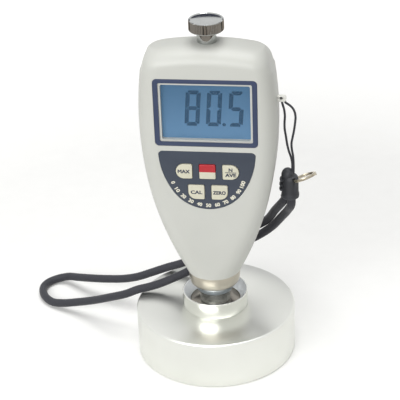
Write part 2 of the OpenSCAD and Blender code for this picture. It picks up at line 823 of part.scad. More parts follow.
module battery_cells() {
    color("#3f6f9a")
        for (i = [0:cell_count - 1])
            translate([(i - (cell_count - 1)/2)*cell_pitch, cell_y, bay_z + bay_len/2])
                rotate([180*(i%2), 0, 0])
                    translate([0, 0, -(cell_len + cell_nub)/2])
                        union() {
                            cylinder(d = cell_d, h = cell_len);
                            cylinder(d = nub_d, h = cell_len + cell_nub);
                        }
}

module battery_contacts() {
    gap = contact_gap - contact_t;
    color("#c2c4c4")
        for (i = [0:cell_count - 1])
            translate([(i - (cell_count - 1)/2)*cell_pitch, cell_y, bay_z + bay_len/2])
                rotate([180*(i%2), 0, 0]) {
                    for (z = [-bay_len/2, bay_len/2 - contact_t])
                        translate([-contact_w/2, -contact_w/2, z])
                            cube([contact_w, contact_w, contact_t]);
                    translate([0, 0, bay_len/2 - contact_gap])
                        cylinder(d = contact_nub_d, h = gap);
                    translate([0, 0, -bay_len/2 + contact_t])
                        coil(contact_coil_d/2, contact_coil_top_d/2, gap, contact_wire, 2, 12, 6);
                }
}

module display_bezel() {
    color("#45506a")
        slab(front_y, panel_t)
            difference() {
                bezel_outline(0);
                view_outline(0);
            }
}

module display_window() {
    color("#cfe0ea")
        slab(inner_y, window_t)
            view_outline(window_lap);
}

module lcd_panel() {
    color("#62839f")
        slab(lcd_y, lcd_t)
            view_outline(lcd_lap);
}

module lcd_backlight() {
    color("#e8ece4")
        slab(light_y, light_t)
            view_outline(light_lap);
}

module circuit_board() {
    color("#2f6b47")
        translate([-board_w/2, board_y, board_foot_z])
            cube([board_w, board_t, board_top_z - board_foot_z]);
}

module keypad_panel() {
    color("#4e5262")
        slab(front_y, panel_t)
            difference() {
                pad_outline(0);
                for (key = key_places)
                    key_outline(key, edge_gap);
            }
}

// A key: its cap in the opening, a flange behind the case's wall and a stem towards its switch
module key_cap(key, tint) {
    back_y = inner_y + slide_play + key_flange_t;
    stem_end = board_y - switch_h - switch_button_h - key_travel - slide_play;
    color(tint) {
        slab(front_y - key_proud, back_y - front_y + key_proud)
            key_outline(key, 0);
        slab(inner_y + slide_play, key_flange_t)
            key_outline(key, key_flange);
        rod_y(stem_d, key[0]*key_pitch, key[1], back_y - weld, stem_end);
    }
}

module hold_key() {
    key_cap(hold_place, "#e1decd");
}

module power_key() {
    key_cap(power_place, "#c82d37");
}

module average_key() {
    key_cap(average_place, "#e1decd");
}

module set_key() {
    key_cap(set_place, "#e1decd");
}

module zero_key() {
    key_cap(zero_place, "#e1decd");
}

module key_switches() {
    color("#2b2d30")
        for (key = key_places)
            translate([key[0]*key_pitch, board_y, key[1]])
                union() {
                    translate([-switch_w/2, -switch_h, -switch_w/2])
                        cube([switch_w, switch_h, switch_w]);
                    rod_y(switch_button_d, 0, 0, -switch_h - switch_button_h, 0);
                }
}

module top_bush() {
    color("#b5965a")
        translate([0, 0, bush_z])
            difference() {
                cylinder(d = bush_d, h = bush_len);
                translate([0, 0, -1])
                    cylinder(d = stud_d + 2*slide_play, h = bush_len + 2);
            }
}

module knob_stud() {
    color("#c9cbcc")
        rotate_extrude()
            polygon([[0, bush_z], [stud_d/2 - stud_chamfer, bush_z], [stud_d/2, bush_z + stud_chamfer],
                [stud_d/2, neck_z], [neck_d/2, neck_z], [neck_d/2, knob_z], [stud_d/2, knob_z],
                [stud_d/2, knob_z + stud_top], [0, knob_z + stud_top]]);
}

// The knob's section is a ring of pointed ridges, trimmed by a disc with chamfered edges
module top_knob() {
    r = knob_d/2;
    ridges = [for (i = [0:2*knurl_count - 1]) let (a = 180*i/knurl_count, s = r - knurl_t*(i%2))
        [s*cos(a), s*sin(a)]];
    color("#d3d5d6")
        translate([0, 0, knob_z + slide_play])
            difference() {
                intersection() {
                    linear_extrude(knob_h)
                        polygon(ridges);
                    rotate_extrude()
                        polygon([[0, 0], [r - knob_chamfer, 0], [r + knob_chamfer, 2*knob_chamfer],
                            [r + knob_chamfer, knob_h - 2*knob_chamfer], [r - knob_chamfer, knob_h],
                            [0, knob_h]]);
                }
                translate([0, 0, -1])
                    cylinder(d = stud_d + 2*slide_play, h = stud_top + 1 + slide_play);
            }
}

// The lug stands on the case's side, on a root that the two shells trap, and holds the string's two ends
module strap_lug() {
    root_x = side_x(lug_z) - wall - lug_root;
    end_x = string_x + lug_end;
    color("#e4e4de")
        difference() {
            union() {
                slab(-lug_t/2, lug_t)
                    translate([(root_x + end_x)/2, lug_z])
                        polygon(round_box(end_x - root_x, lug_h, [weld, lug_r, lug_r, weld]));
                translate([root_x, -lug_t/2 - lug_root_lip, lug_z - lug_h/2 - lug_root_lip])
                    cube([lug_root_t, lug_t + 2*lug_root_lip, lug_h + 2*lug_root_lip]);
            }
            rod_y(lug_hole_d, string_x, lug_z, -lug_t, -lug_web);
            for (side = [-1, 1])
                rod_y(string_d + 2*seat_play, string_x + side*string_gap/2, lug_z, 0, lug_t);
        }
}

module string_inner() {
    color("#1e1f22")
        tube(string_inner_route, string_d, 8);
}

module string_outer() {
    color("#1e1f22")
        tube(string_outer_route, string_d, 8);
}

// The moulded sleeve, with a domed top, a flared lower end and a channel for the split ring
module strap_sleeve() {
    r = sleeve_d/2;
    rim = sleeve_rim_d/2;
    color("#26272b")
        difference() {
            translate(sleeve_at)
                rotate_extrude()
                    polygon(concat([[0, 0], [rim, 0], [rim, sleeve_rim_h]],
                        [[r, sleeve_rim_h + sleeve_flare_h]], arc(0, sleeve_len - r, r, 0, 90)));
            translate(split_at)
                rotate([-split_dip, -split_lean, 0])
                    split_profile(seat_play);
        }
}

module split_profile(grow) {
    rotate_extrude()
        translate([split_d/2 - split_wire - grow, -split_h/2 - grow])
            square([split_wire + 2*grow, split_h + 2*grow]);
}

module split_ring() {
    color("#b9ab84")
        translate(split_at)
            rotate([-split_dip, -split_lean, 0])
                split_profile(0);
}

module wrist_cord() {
    color("#2a2b30")
        tube(cord_route, cord_d, 10);
}

base_block();
seat_ring();
anvil();
pressure_foot();
probe_collar();
probe_barrel();
barrel_nut();
barrel_cap();
indenter();
indenter_spring();
travel_sensor();
front_shell();
rear_shell();
case_screws();
battery_door();
battery_cells();
battery_contacts();
display_bezel();
display_window();
lcd_panel();
lcd_backlight();
circuit_board();
keypad_panel();
hold_key();
power_key();
average_key();
set_key();
zero_key();
key_switches();
top_bush();
knob_stud();
top_knob();
strap_lug();
string_inner();
string_outer();
strap_sleeve();
split_ring();
wrist_cord();
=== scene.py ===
import math

import bmesh
import bpy
from mathutils import Matrix, Vector


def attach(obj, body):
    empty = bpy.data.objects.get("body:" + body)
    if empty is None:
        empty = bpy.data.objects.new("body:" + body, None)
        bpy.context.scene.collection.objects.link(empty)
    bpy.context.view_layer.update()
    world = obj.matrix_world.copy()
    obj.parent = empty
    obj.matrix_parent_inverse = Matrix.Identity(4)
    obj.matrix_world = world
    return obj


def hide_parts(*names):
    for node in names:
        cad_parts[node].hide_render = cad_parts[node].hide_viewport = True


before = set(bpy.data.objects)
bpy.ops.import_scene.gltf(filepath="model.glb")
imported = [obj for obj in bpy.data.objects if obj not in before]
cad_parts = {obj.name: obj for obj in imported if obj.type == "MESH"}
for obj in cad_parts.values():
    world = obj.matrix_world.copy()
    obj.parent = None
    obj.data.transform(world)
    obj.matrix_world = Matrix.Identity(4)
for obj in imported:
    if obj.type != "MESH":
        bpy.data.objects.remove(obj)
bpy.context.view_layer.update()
scene = bpy.context.scene
scene.view_settings.view_transform = "Standard"

# Camera
# It stands in front of the tester, a little to the right and above the thumb screw, and looks down
# through a long lens. The photograph is rolled by about two degrees, and so is the camera.
yaw, pitch, roll = (math.radians(angle) for angle in (-8.428, 28.572, -2.239))
forward = Vector((math.sin(yaw)*math.cos(pitch), math.cos(yaw)*math.cos(pitch), -math.sin(pitch)))
level = Vector((math.cos(yaw), -math.sin(yaw), 0))
upright = level.cross(forward)
to_right = math.cos(roll)*level + math.sin(roll)*upright
to_top = math.cos(roll)*upright - math.sin(roll)*level
camera = bpy.data.objects.new("camera", bpy.data.cameras.new("camera"))
camera.data.sensor_width = 36
camera.data.lens = 136.34
turned_to = Matrix((to_right, to_top, -forward)).transposed().to_4x4()
camera.matrix_world = Matrix.Translation((0.08733, -0.62909, 0.42760)) @ turned_to
scene.collection.objects.link(camera)
scene.camera = camera

# Wrist strap: the braided cord and the two runs of string
# A round braid of black polyester makes one loop behind the tester, over the base and on to the floor.
# A thin string, held in the lug's underside, carries it. Each runs from its fixed end to the sleeve.
MM = 0.001
CORD_D, STRING_D = 4.2, 1.1
CORD_ROUTE = (
    (37.6, 3.4, 82), (37.6, 3.4, 79.8), (35.6, 8.4, 73), (32, 13, 66.3), (26.8, 16.5, 58.6), (19.5, 19, 51.7),
    (11, 20, 46.6), (3, 19.6, 42.6), (-4, 18, 39.2), (-11, 15.2, 35.8), (-16.2, 11.6, 33.2), (-19.2, 10.7, 32),
    (-24.4, 9.3, 30), (-29.3, 8.3, 28.1), (-34.5, 7, 26.8), (-39.6, 5.6, 26), (-46, 6.5, 22.6), (-55.3, 10.4, 17.6),
    (-64.9, 15.4, 12.2), (-75.8, 20.8, 7), (-83.4, 23.8, 4.2), (-90.3, 27.2, 2.4), (-94.8, 31.6, 2.2),
    (-97.5, 37, 2.2), (-98.2, 42.5, 2.2), (-96.2, 47.3, 2.2), (-92.4, 50.1, 2.6), (-87.5, 50.3, 3.9),
    (-79.8, 45.9, 6.6), (-72.1, 41, 9.4), (-61, 36, 12.5), (-52.1, 32.5, 15.2), (-44.7, 30, 18.2), (-36.4, 29, 22),
    (-28.8, 28.5, 25.4), (-20.1, 28, 28.9), (-9, 27.2, 35.8), (1.7, 25.8, 43.4), (13, 23.2, 52), (23.9, 19.2, 60.6),
    (29.2, 13, 70.4), (33.2, 7.6, 77.8), (34.3, 6.6, 79.8), (34.3, 6.6, 82))
INNER_ROUTE = (
    (33.89, 0, 135), (33.89, 0, 133.8), (34.2, 0.6, 131.8), (34.5, 1.5, 130.1), (34.85, 3, 125.6),
    (34.55, 4.3, 121), (34.55, 5, 117.8), (35.1, 5, 113.9), (35.75, 5, 109.3), (36.5, 5, 106), (37.4, 5, 103.1),
    (37.9, 5, 100.3), (37.9, 5, 94.4))
OUTER_ROUTE = (
    (35.19, 0, 135), (35.35, 0.2, 133.7), (36.4, 0.9, 132.5), (37.6, 1.6, 131.2), (38.6, 2.4, 129.6),
    (39.4, 3.2, 127.3), (39.7, 4, 124.6), (39.4, 4.7, 120.9), (38.85, 5, 116.8), (38.2, 5, 113.4),
    (37.7, 5, 110.5), (37.85, 5, 107.1), (38.4, 5, 103.7), (38.6, 5, 100.3), (38.6, 5, 94.4))


def linear(hex_value):
    """An sRGB hex colour as the linear colour that a shader takes."""
    parts = [int(hex_value[i:i + 2], 16)/255 for i in (1, 3, 5)]
    return [*(c/12.92 if c <= 0.04045 else ((c + 0.055)/1.055)**2.4 for c in parts), 1]


def add(tree, kind, inputs=None, **settings):
    """Adds a shader node with its settings, and gives its sockets their values or links."""
    made = tree.nodes.new(kind)
    for name, value in settings.items():
        setattr(made, name, value)
    for name, value in (inputs or {}).items():
        if isinstance(value, bpy.types.NodeSocket):
            tree.links.new(value, made.inputs[name])
        else:
            made.inputs[name].default_value = value
    return made


def start_material(name, **values):
    """A new material with its shader's plain values, and its node tree and shader to build on."""
    material = bpy.data.materials.new(name)
    material.use_nodes = True
    shader = material.node_tree.nodes["Principled BSDF"]
    for socket, value in values.items():
        shader.inputs[socket.replace("_", " ")].default_value = value
    return material, material.node_tree, shader


def finish_piece(name, bm, material, body, angle=35):
    """Turns a mesh in millimetres into a piece in metres that rides on a body."""
    bmesh.ops.scale(bm, vec=(MM, MM, MM), verts=bm.verts)
    mesh = bpy.data.meshes.new(name)
    bm.to_mesh(mesh)
    bm.free()
    mesh.shade_smooth()
    mesh.set_sharp_from_angle(angle=math.radians(angle))
    mesh.materials.append(material)
    made = bpy.data.objects.new(name, mesh)
    scene.collection.objects.link(made)
    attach(made, body)
    return made


def outward(bm):
    """Turns every face of a mesh outward."""
    bmesh.ops.recalc_face_normals(bm, faces=bm.faces)


def smooth_route(route, spacing):
    """Evenly spaced points on one smooth curve through a route's points."""
    points = [Vector(p) for p in route]
    gaps = [(q - p).length for p, q in zip(points, points[1:])]
    slopes = [(points[1] - points[0])/gaps[0]]
    for before, here, after, g, h in zip(points, points[1:], points[2:], gaps, gaps[1:]):
        slopes.append(((here - before)/g*h + (after - here)/h*g)/(g + h))
    slopes.append((points[-1] - points[-2])/gaps[-1])
    fine = [points[0]]
    for p, q, m, n, gap in zip(points, points[1:], slopes, slopes[1:], gaps):
        for t in (i/32 for i in range(1, 33)):
            fine.append(p*(1 + 2*t)*(1 - t)**2 + m*gap*t*(1 - t)**2 + q*t*t*(3 - 2*t) + n*gap*t*t*(t - 1))
    run = [0.0]
    for p, q in zip(fine, fine[1:]):
        run.append(run[-1] + (q - p).length)
    count = round(run[-1]/spacing)
    even, k = [], 0
    for i in range(count + 1):
        s = run[-1]*i/count
        while k < len(run) - 2 and run[k + 1] < s:
            k += 1
        even.append(fine[k].lerp(fine[k + 1], (s - run[k])/(run[k + 1] - run[k])))
    return even


def braid(name, route, diameter, strands, lay, spacing, sides, material):
    """A braid along a route: a flat strip of weave, rolled round the line, with strands that stand out."""
    line = smooth_route(route, spacing)
    rings = len(line) - 1
    bm = bmesh.new()
    weave = bm.loops.layers.uv.new("weave")
    bmesh.ops.create_grid(bm, x_segments=rings, y_segments=sides, size=1)
    for face in bm.faces:
        for loop in face.loops:
            loop[weave].uv = ((loop.vert.co.x + 1)/2*rings*spacing/lay, (loop.vert.co.y + 1)/2*strands/2)
    side = (line[1] - line[0]).orthogonal().normalized()
    frames = []
    for i in range(rings + 1):
        ahead = (line[min(i + 1, rings)] - line[max(i - 1, 0)]).normalized()
        side = (side - ahead*side.dot(ahead)).normalized()
        frames.append((side, ahead.cross(side)))
    for vert in bm.verts:
        i, around = round((vert.co.x + 1)/2*rings), (vert.co.y + 1)/2 % 1
        one, other = around*strands/2 + i*spacing/lay, around*strands/2 - i*spacing/lay
        over = (math.floor(one) + math.floor(other)) % 2
        bulge = math.sin(math.pi*((one if over else other) % 1))
        reach = diameter/2*(0.93 + 0.07*bulge)
        a, b = frames[i]
        vert.co = line[i] + reach*(math.cos(2*math.pi*around)*a + math.sin(2*math.pi*around)*b)
    bmesh.ops.remove_doubles(bm, verts=bm.verts, dist=0.002)
    bmesh.ops.holes_fill(bm, edges=[e for e in bm.edges if e.is_boundary], sides=0)
    outward(bm)
    return finish_piece(name, bm, material, "tester", 180), [list(p*MM) for p in line]


# Braided polyester: matt black strands with a soft sheen, each of many fine filaments
braid_black, tree, shader = start_material("polyester_braid", Roughness=0.72, IOR=1.5)
shader.inputs["Sheen Weight"].default_value = 0.25
shader.inputs["Sheen Roughness"].default_value = 0.4
weave_uv = add(tree, "ShaderNodeUVMap", uv_map="weave")
filaments = add(tree, "ShaderNodeTexNoise", {"Vector": weave_uv.outputs[0], "Scale": 7.0, "Detail": 3.0})
tint = add(tree, "ShaderNodeValToRGB", {0: filaments.outputs[0]})
tint.color_ramp.elements[0].position, tint.color_ramp.elements[0].color = 0.3, linear("#1d1e23")
tint.color_ramp.elements[1].position, tint.color_ramp.elements[1].color = 0.75, linear("#3a3b43")
raised = add(tree, "ShaderNodeBump", {"Height": filaments.outputs[0], "Strength": 0.35, "Distance": 0.0001})
tree.links.new(tint.outputs[0], shader.inputs["Base Color"])
tree.links.new(raised.outputs[0], shader.inputs["Normal"])

wrist_cord, wrist_line = braid("wrist_cord_braid", CORD_ROUTE, CORD_D, 16, 1.5, 0.4, 32, braid_black)
string_inner, inner_line = braid("string_inner_braid", INNER_ROUTE, STRING_D, 8, 0.55, 0.12, 16, braid_black)
string_outer, outer_line = braid("string_outer_braid", OUTER_ROUTE, STRING_D, 8, 0.55, 0.12, 16, braid_black)
for cord, node in ((wrist_cord, "wrist_cord"), (string_inner, "string_inner"), (string_outer, "string_outer")):
    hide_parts(node)

# Strap sleeve
# A moulded rubber sleeve clamps the ends of the cord and the string. It has a round dome beside a lower
# shoulder, three grip ribs on its outer side and a thick rim, and the split ring goes through the shoulder.
SLEEVE_AT = Vector((36.95, 5, 82))
SPLIT_AT = SLEEVE_AT + Vector((7.05, -2.4, 12))
SPLIT_TURN = Matrix.Rotation(math.radians(-22), 4, "Y") @ Matrix.Rotation(math.radians(-14), 4, "X")
SPLIT_R, SPLIT_WIRE, SPLIT_H = 5.8, 1.1, 1.8


def turned(profile, steps=96, axis=(0, 0, 1)):
    """A turned shape: the profile's points, as radius and height, spun round the axis."""
    bm = bmesh.new()
    verts = [bm.verts.new((r, 0, z)) for r, z in profile]
    edges = [bm.edges.new(pair) for pair in zip(verts, verts[1:])]
    bmesh.ops.spin(bm, geom=verts + edges, cent=(0, 0, 0), axis=axis, angle=2*math.pi, steps=steps,
                   use_merge=True)
    bmesh.ops.remove_doubles(bm, verts=bm.verts, dist=0.0005)
    outward(bm)
    return bm


def ease_edges(bm, offset, segments=2, sharper=0.5):
    """Bevels every edge of a mesh that is sharper than an angle, in radians."""
    sharp = [e for e in bm.edges if len(e.link_faces) == 2 and e.calc_face_angle() > sharper]
    bmesh.ops.bevel(bm, geom=sharp, offset=offset, offset_type="OFFSET", segments=segments, profile=0.5,
                    affect="EDGES", clamp_overlap=True, material=-1)


def cut(piece, cutter_bm, crossing=False):
    """Cuts a closed mesh in millimetres out of a piece, and joins the piece's shells if they cross."""
    bmesh.ops.scale(cutter_bm, vec=(MM, MM, MM), verts=cutter_bm.verts)
    outward(cutter_bm)
    cutter_mesh = bpy.data.meshes.new("cutter")
    cutter_bm.to_mesh(cutter_mesh)
    cutter_bm.free()
    cutter = bpy.data.objects.new("cutter", cutter_mesh)
    scene.collection.objects.link(cutter)
    step = piece.modifiers.new("cut", "BOOLEAN")
    step.operation, step.solver, step.object, step.use_self = "DIFFERENCE", "EXACT", cutter, crossing
    left = bpy.data.meshes.new_from_object(piece.evaluated_get(bpy.context.evaluated_depsgraph_get()))
    piece.modifiers.remove(step)
    piece.data = left
    bpy.data.objects.remove(cutter)


def noise(tree, size, detail, squash=None):
    """A noise in the piece's own frame, of a size in metres, that a scale can squash into lines."""
    place = add(tree, "ShaderNodeTexCoord").outputs["Object"]
    if squash:
        place = add(tree, "ShaderNodeMapping", {"Vector": place, "Scale": squash}).outputs[0]
    return add(tree, "ShaderNodeTexNoise", {"Vector": place, "Scale": 1/size, "Detail": detail}).outputs[0]


def blend(tree, by, dark, light):
    """A colour that a pattern moves between a dark one and a light one."""
    return add(tree, "ShaderNodeMix", {0: by, 6: linear(dark), 7: linear(light)}, data_type="RGBA").outputs[2]


bm = turned([(0, 0), (3.9, 0), (4.2, 0.25), (4.3, 1), (4.3, 1.9), (4.15, 2.5), (4, 2.9), (4, 9.4), (3.8, 10.5),
             (3.3, 11.3), (2.5, 11.8), (0, 12)], 64)
for size, spot in (((3.05, 3.2, 3.5), (-1.15, 0, 11.8)), ((3, 3.4, 5), (-1.1, 0, 9)),
                   ((1.2, 3, 0.85), (-3.8, 0, 9.6)), ((1.25, 3, 0.9), (-3.95, 0, 7.1)),
                   ((1.3, 3, 0.95), (-3.95, 0, 4.6))):
    lobe = bmesh.ops.create_uvsphere(bm, u_segments=32, v_segments=20, radius=1)["verts"]
    bmesh.ops.scale(bm, vec=size, verts=lobe)
    bmesh.ops.translate(bm, vec=spot, verts=lobe)
bmesh.ops.translate(bm, vec=SLEEVE_AT, verts=bm.verts)

# Moulded rubber: nearly black, soft and matt, with the grain of the mould, and paler on its sharp convex edges
rubber, tree, shader = start_material("moulded_rubber", Roughness=0.55, IOR=1.52)
edges = add(tree, "ShaderNodeNewGeometry")
# The colour turns paler where the surface bends sharply outward.
paler_edges = add(tree, "ShaderNodeMapRange", {0: edges.outputs["Pointiness"], 1: 0.5, 2: 0.62})
raised = add(tree, "ShaderNodeBump", {"Height": noise(tree, 0.0007, 4.0), "Strength": 0.25, "Distance": 0.00008})
tree.links.new(blend(tree, paler_edges.outputs[0], "#23252a", "#44464d"), shader.inputs["Base Color"])
tree.links.new(raised.outputs[0], shader.inputs["Normal"])

sleeve = finish_piece("sleeve_moulding", bm, rubber, "tester", 60)
half_wire = SPLIT_WIRE/2 + 0.1
bm = turned([(SPLIT_R - SPLIT_WIRE/2 + dx*half_wire, dz*(SPLIT_H/2 + 0.1))
             for dx, dz in ((-1, -1), (1, -1), (1, 1), (-1, 1), (-1, -1))], 64)
bmesh.ops.transform(bm, matrix=Matrix.Translation(SPLIT_AT) @ SPLIT_TURN, verts=bm.verts)
cut(sleeve, bm, crossing=True)
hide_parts("strap_sleeve")

# Split ring
# Two turns of flat spring wire, wound close and plated with nickel that has yellowed a little. The
# wire's ends show as small steps on the ring's flat sides.
bm = bmesh.new()
half_turn = SPLIT_H/2
corners = [(SPLIT_R - SPLIT_WIRE, 0.03), (SPLIT_R, 0.03), (SPLIT_R, half_turn - 0.03),
           (SPLIT_R - SPLIT_WIRE, half_turn - 0.03)]
section = bm.faces.new([bm.verts.new((r, 0, z - half_turn)) for r, z in corners])
steps = 120
bmesh.ops.spin(bm, geom=[section, *section.verts, *section.edges], cent=(0, 0, 0), axis=(0, 0, 1),
               dvec=(0, 0, half_turn/steps), angle=4*math.pi, steps=steps, use_merge=False)
bmesh.ops.remove_doubles(bm, verts=bm.verts, dist=0.001)
outward(bm)
ease_edges(bm, 0.12, 2, 1.0)
bmesh.ops.transform(bm, matrix=Matrix.Translation(SPLIT_AT) @ SPLIT_TURN, verts=bm.verts)


def grained(name, size, detail, dark, light, gloss=None, fine=None, relief=None, **values):
    """A material with its colour from one noise, and its gloss and relief from a finer noise or the same.

    A noise is a real size in metres and a detail, gloss is a range of roughness, and relief is a strength
    and a height in metres.
    """
    material, tree, shader = start_material(name, **values)
    broad = noise(tree, size, detail)
    close = noise(tree, *fine) if fine else broad
    tree.links.new(blend(tree, broad, dark, light), shader.inputs["Base Color"])
    if gloss:
        spread = add(tree, "ShaderNodeMapRange", {0: close, 3: gloss[0], 4: gloss[1]})
        tree.links.new(spread.outputs[0], shader.inputs["Roughness"])
    if relief:
        raised = add(tree, "ShaderNodeBump", {"Height": close, "Strength": relief[0], "Distance": relief[1]})
        tree.links.new(raised.outputs[0], shader.inputs["Normal"])
    return material


# Yellowed nickel plate on drawn wire: bright, with duller patches
ring_nickel = grained("yellowed_nickel", 0.002, 3.0, "#9c9178", "#d3cdbf", (0.16, 0.34), Metallic=1.0)
split_ring = finish_piece("split_ring_wire", bm, ring_nickel, "tester")
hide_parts("split_ring")

# Base
# A disc turned from aluminium bar, blasted with fine beads and clear anodised. The lathe's faint rings
# still show on its top, and its edges are chamfered.
bm = turned([(0, 0), (38.4, 0), (39, 0.6), (39, 23.4), (38.4, 24), (12.2, 24), (12.2, 22), (0, 22)], 192)
ease_edges(bm, 0.12)

# Blasted aluminium: a pale satin metal, with its grain drawn coarser than the real one, half a millimetre
blasted, tree, shader = start_material("blasted_aluminium", Metallic=1.0)
grain = noise(tree, 0.0005, 4.0)
place = add(tree, "ShaderNodeTexCoord")
lathe = add(tree, "ShaderNodeTexWave", {"Vector": place.outputs["Object"], "Scale": 1/0.0011, "Distortion": 0.6,
                                        "Detail": 1.0}, wave_type="RINGS", rings_direction="Z")
satin = add(tree, "ShaderNodeMapRange", {0: grain, 3: 0.25, 4: 0.38})
turning = add(tree, "ShaderNodeBump", {"Height": lathe.outputs[1], "Strength": 0.05, "Distance": 0.00002})
raised = add(tree, "ShaderNodeBump", {"Height": grain, "Strength": 0.10, "Distance": 0.00004,
                                      "Normal": turning.outputs[0]})
tree.links.new(blend(tree, noise(tree, 0.03, 2.0), "#dcddd7", "#e9eae5"), shader.inputs["Base Color"])
tree.links.new(satin.outputs[0], shader.inputs["Roughness"])
tree.links.new(raised.outputs[0], shader.inputs["Normal"])

base = finish_piece("base_disc", bm, blasted, "tester", 25)
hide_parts("base_block")

# Seat ring
# A ring turned from the same bar and polished, pressed on to the base. Its coned mouth guides the
# tester's foot, and a thin flat lip is left round the top.
bm = turned([(12.2, 24), (16, 24), (16, 31.75), (15.75, 32), (15.4, 32), (12.2, 26.7), (12.2, 24)], 160)
ease_edges(bm, 0.1)


def tool_lines(material, squash, detail, low, high, relief=None):
    """Fine lines round the axis, from a noise squashed in height, that change the gloss and may stand out."""
    tree = material.node_tree
    shader = tree.nodes["Principled BSDF"]
    lines = noise(tree, 1.0, detail, squash)
    gloss = add(tree, "ShaderNodeMapRange", {0: lines, 3: low, 4: high})
    tree.links.new(gloss.outputs[0], shader.inputs["Roughness"])
    if relief:
        raised = add(tree, "ShaderNodeBump", {"Height": lines, "Strength": relief[0], "Distance": relief[1]})
        tree.links.new(raised.outputs[0], shader.inputs["Normal"])


# Turned and polished aluminium: bright, with fine tool lines round the axis
turned_metal, _, _ = start_material("polished_aluminium", Metallic=1.0, Base_Color=linear("#dfe0da"))
tool_lines(turned_metal, (60, 60, 4000), 3.0, 0.06, 0.22, (0.06, 0.00002))
# The cone is only brushed: matt, with coarser tool lines, and its paler colour is painted light against the shade
# under the case
painted_paler_cone, _, _ = start_material("brushed_aluminium_painted_paler", Metallic=1.0, Base_Color=linear("#eff1f2"))
tool_lines(painted_paler_cone, (40, 40, 2200), 3.0, 0.42, 0.62, (0.25, 0.00006))

seat = finish_piece("seat_ring_turned", bm, turned_metal, "tester", 25)
# The inner cone takes the paler copy of the aluminium, its colour painted light.
seat.data.materials.append(painted_paler_cone)
for face in seat.data.polygons:
    inward = face.normal.x*face.center.x + face.normal.y*face.center.y < 0
    face.material_index = 1 if inward and face.center.z > 0.0268 else 0
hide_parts("seat_ring")

# Anvil and pressure foot
# The anvil is a ground and lapped steel disc, set in the base under the ring, with a relief hole for the
# indenter. The tester's stepped foot stands on it, and its spigot goes up into the barrel.
anvil_bm = turned([(2.5, 22), (12.1, 22), (12.1, 26.7), (2.5, 26.7), (2.5, 22)], 128)
ease_edges(anvil_bm, 0.15)
foot_bm = turned([(1.5, 26.7), (7.1, 26.7), (7.5, 27.1), (7.5, 32.9), (8.4, 32.9), (8.7, 33.2), (8.7, 37.2),
                  (6.7, 37.2), (6.7, 46.4), (1.5, 46.4), (1.5, 26.7)], 128)
ease_edges(foot_bm, 0.12)

# Ground steel: the anvil's dark brown is painted shade and reflection deep in the ring, and the foot is brighter,
# with a blue cast
steels = {}
for name, dark, light, low, high in (("lapped_steel_painted_shade", "#827e76", "#9a958c", 0.14, 0.26),
                                     ("ground_steel", "#b6bdc0", "#d2d7d9", 0.12, 0.28)):
    steels[name] = grained(name, 0.004, 4.0, dark, light, Metallic=1.0)
    tool_lines(steels[name], (80, 80, 3000), 2.0, low, high)

# The anvil's dark brown colour is painted shade.
anvil = finish_piece("anvil_disc", anvil_bm, steels["lapped_steel_painted_shade"], "tester", 25)
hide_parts("anvil")
foot = finish_piece("foot_turned", foot_bm, steels["ground_steel"], "tester", 25)
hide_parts("pressure_foot")

# Probe collar
# A brass collar with satin nickel plate, screwed on the barrel under the case. Its side is a slight cone,
# with a fine edge half way where the turning tool was set over.
bm = turned([(8.6, 37.5), (11.6, 37.5), (11.9, 37.8), (12.4, 40.3), (12.75, 44.3), (8.6, 44.3), (8.6, 37.5)], 144)
ease_edges(bm, 0.2, 3)

# Satin nickel: a warm grey metal, with brass showing a little through the plate on its edges
nickel, tree, shader = start_material("satin_nickel", Metallic=1.0)
edges = add(tree, "ShaderNodeNewGeometry")
worn = add(tree, "ShaderNodeMapRange", {0: edges.outputs["Pointiness"], 1: 0.51, 2: 0.6})
tree.links.new(blend(tree, worn.outputs[0], "#b1aca1", "#b8ad96"), shader.inputs["Base Color"])
tool_lines(nickel, (50, 50, 3500), 3.0, 0.24, 0.40)

collar = finish_piece("collar_turned", bm, nickel, "tester", 25)
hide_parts("probe_collar")

# Case shells
# Two ABS mouldings meet on the plane through the sides. The case is round at the collar and grows into a
# soft slab with a crowned top. A thumb dimple is pressed into the front, and fine eroded texture covers it.
CASE_Z, TOP_Z, CASE_W, CASE_D = 44.3, 163.4, 64.3, 26.0
BELLY_Z, FOOT_HALF, CROWN_R, CORNER_R, FOOT_EDGE, WALL = 126.0, 12.9, 130.0, 8.1, 0.3, 2.0
TOP_RISE, TOP_SIDE, TOP_FRONT = 7.5, 2.4, 10.0
DIMPLE_Z, DIMPLE_R, DIMPLE_T = 70.8, 9.6, 0.7
FRONT_Y = -CASE_D/2
side_drop = CASE_W/2 - FOOT_HALF
side_r = ((BELLY_Z - CASE_Z)**2 + side_drop**2)/(2*side_drop)


def side_x(z):
    return CASE_W/2 - side_r + math.sqrt(side_r**2 - (z - BELLY_Z)**2)


def crown(x):
    return CROWN_R - math.sqrt(CROWN_R**2 - x**2)


def round_part(z):
    return (1 - min(1.0, max(0.0, (z - CASE_Z)/(0.4*(TOP_Z - CASE_Z)))))**1.5


def half_section(w, d, r, steps, spans):
    """Points of the front half of the case's section, from the right side round to the left."""
    turn = [math.pi/2*i/steps for i in range(steps + 1)]
    right = [(w - r + r*math.cos(a), r - d - r*math.sin(a)) for a in turn]
    left = [(-x, y) for x, y in reversed(right)]
    flat = [((w - r)*(1 - 2*i/spans), -d) for i in range(1, spans)]
    return [(w, 0), *right, *flat, *left, (-w, 0)]


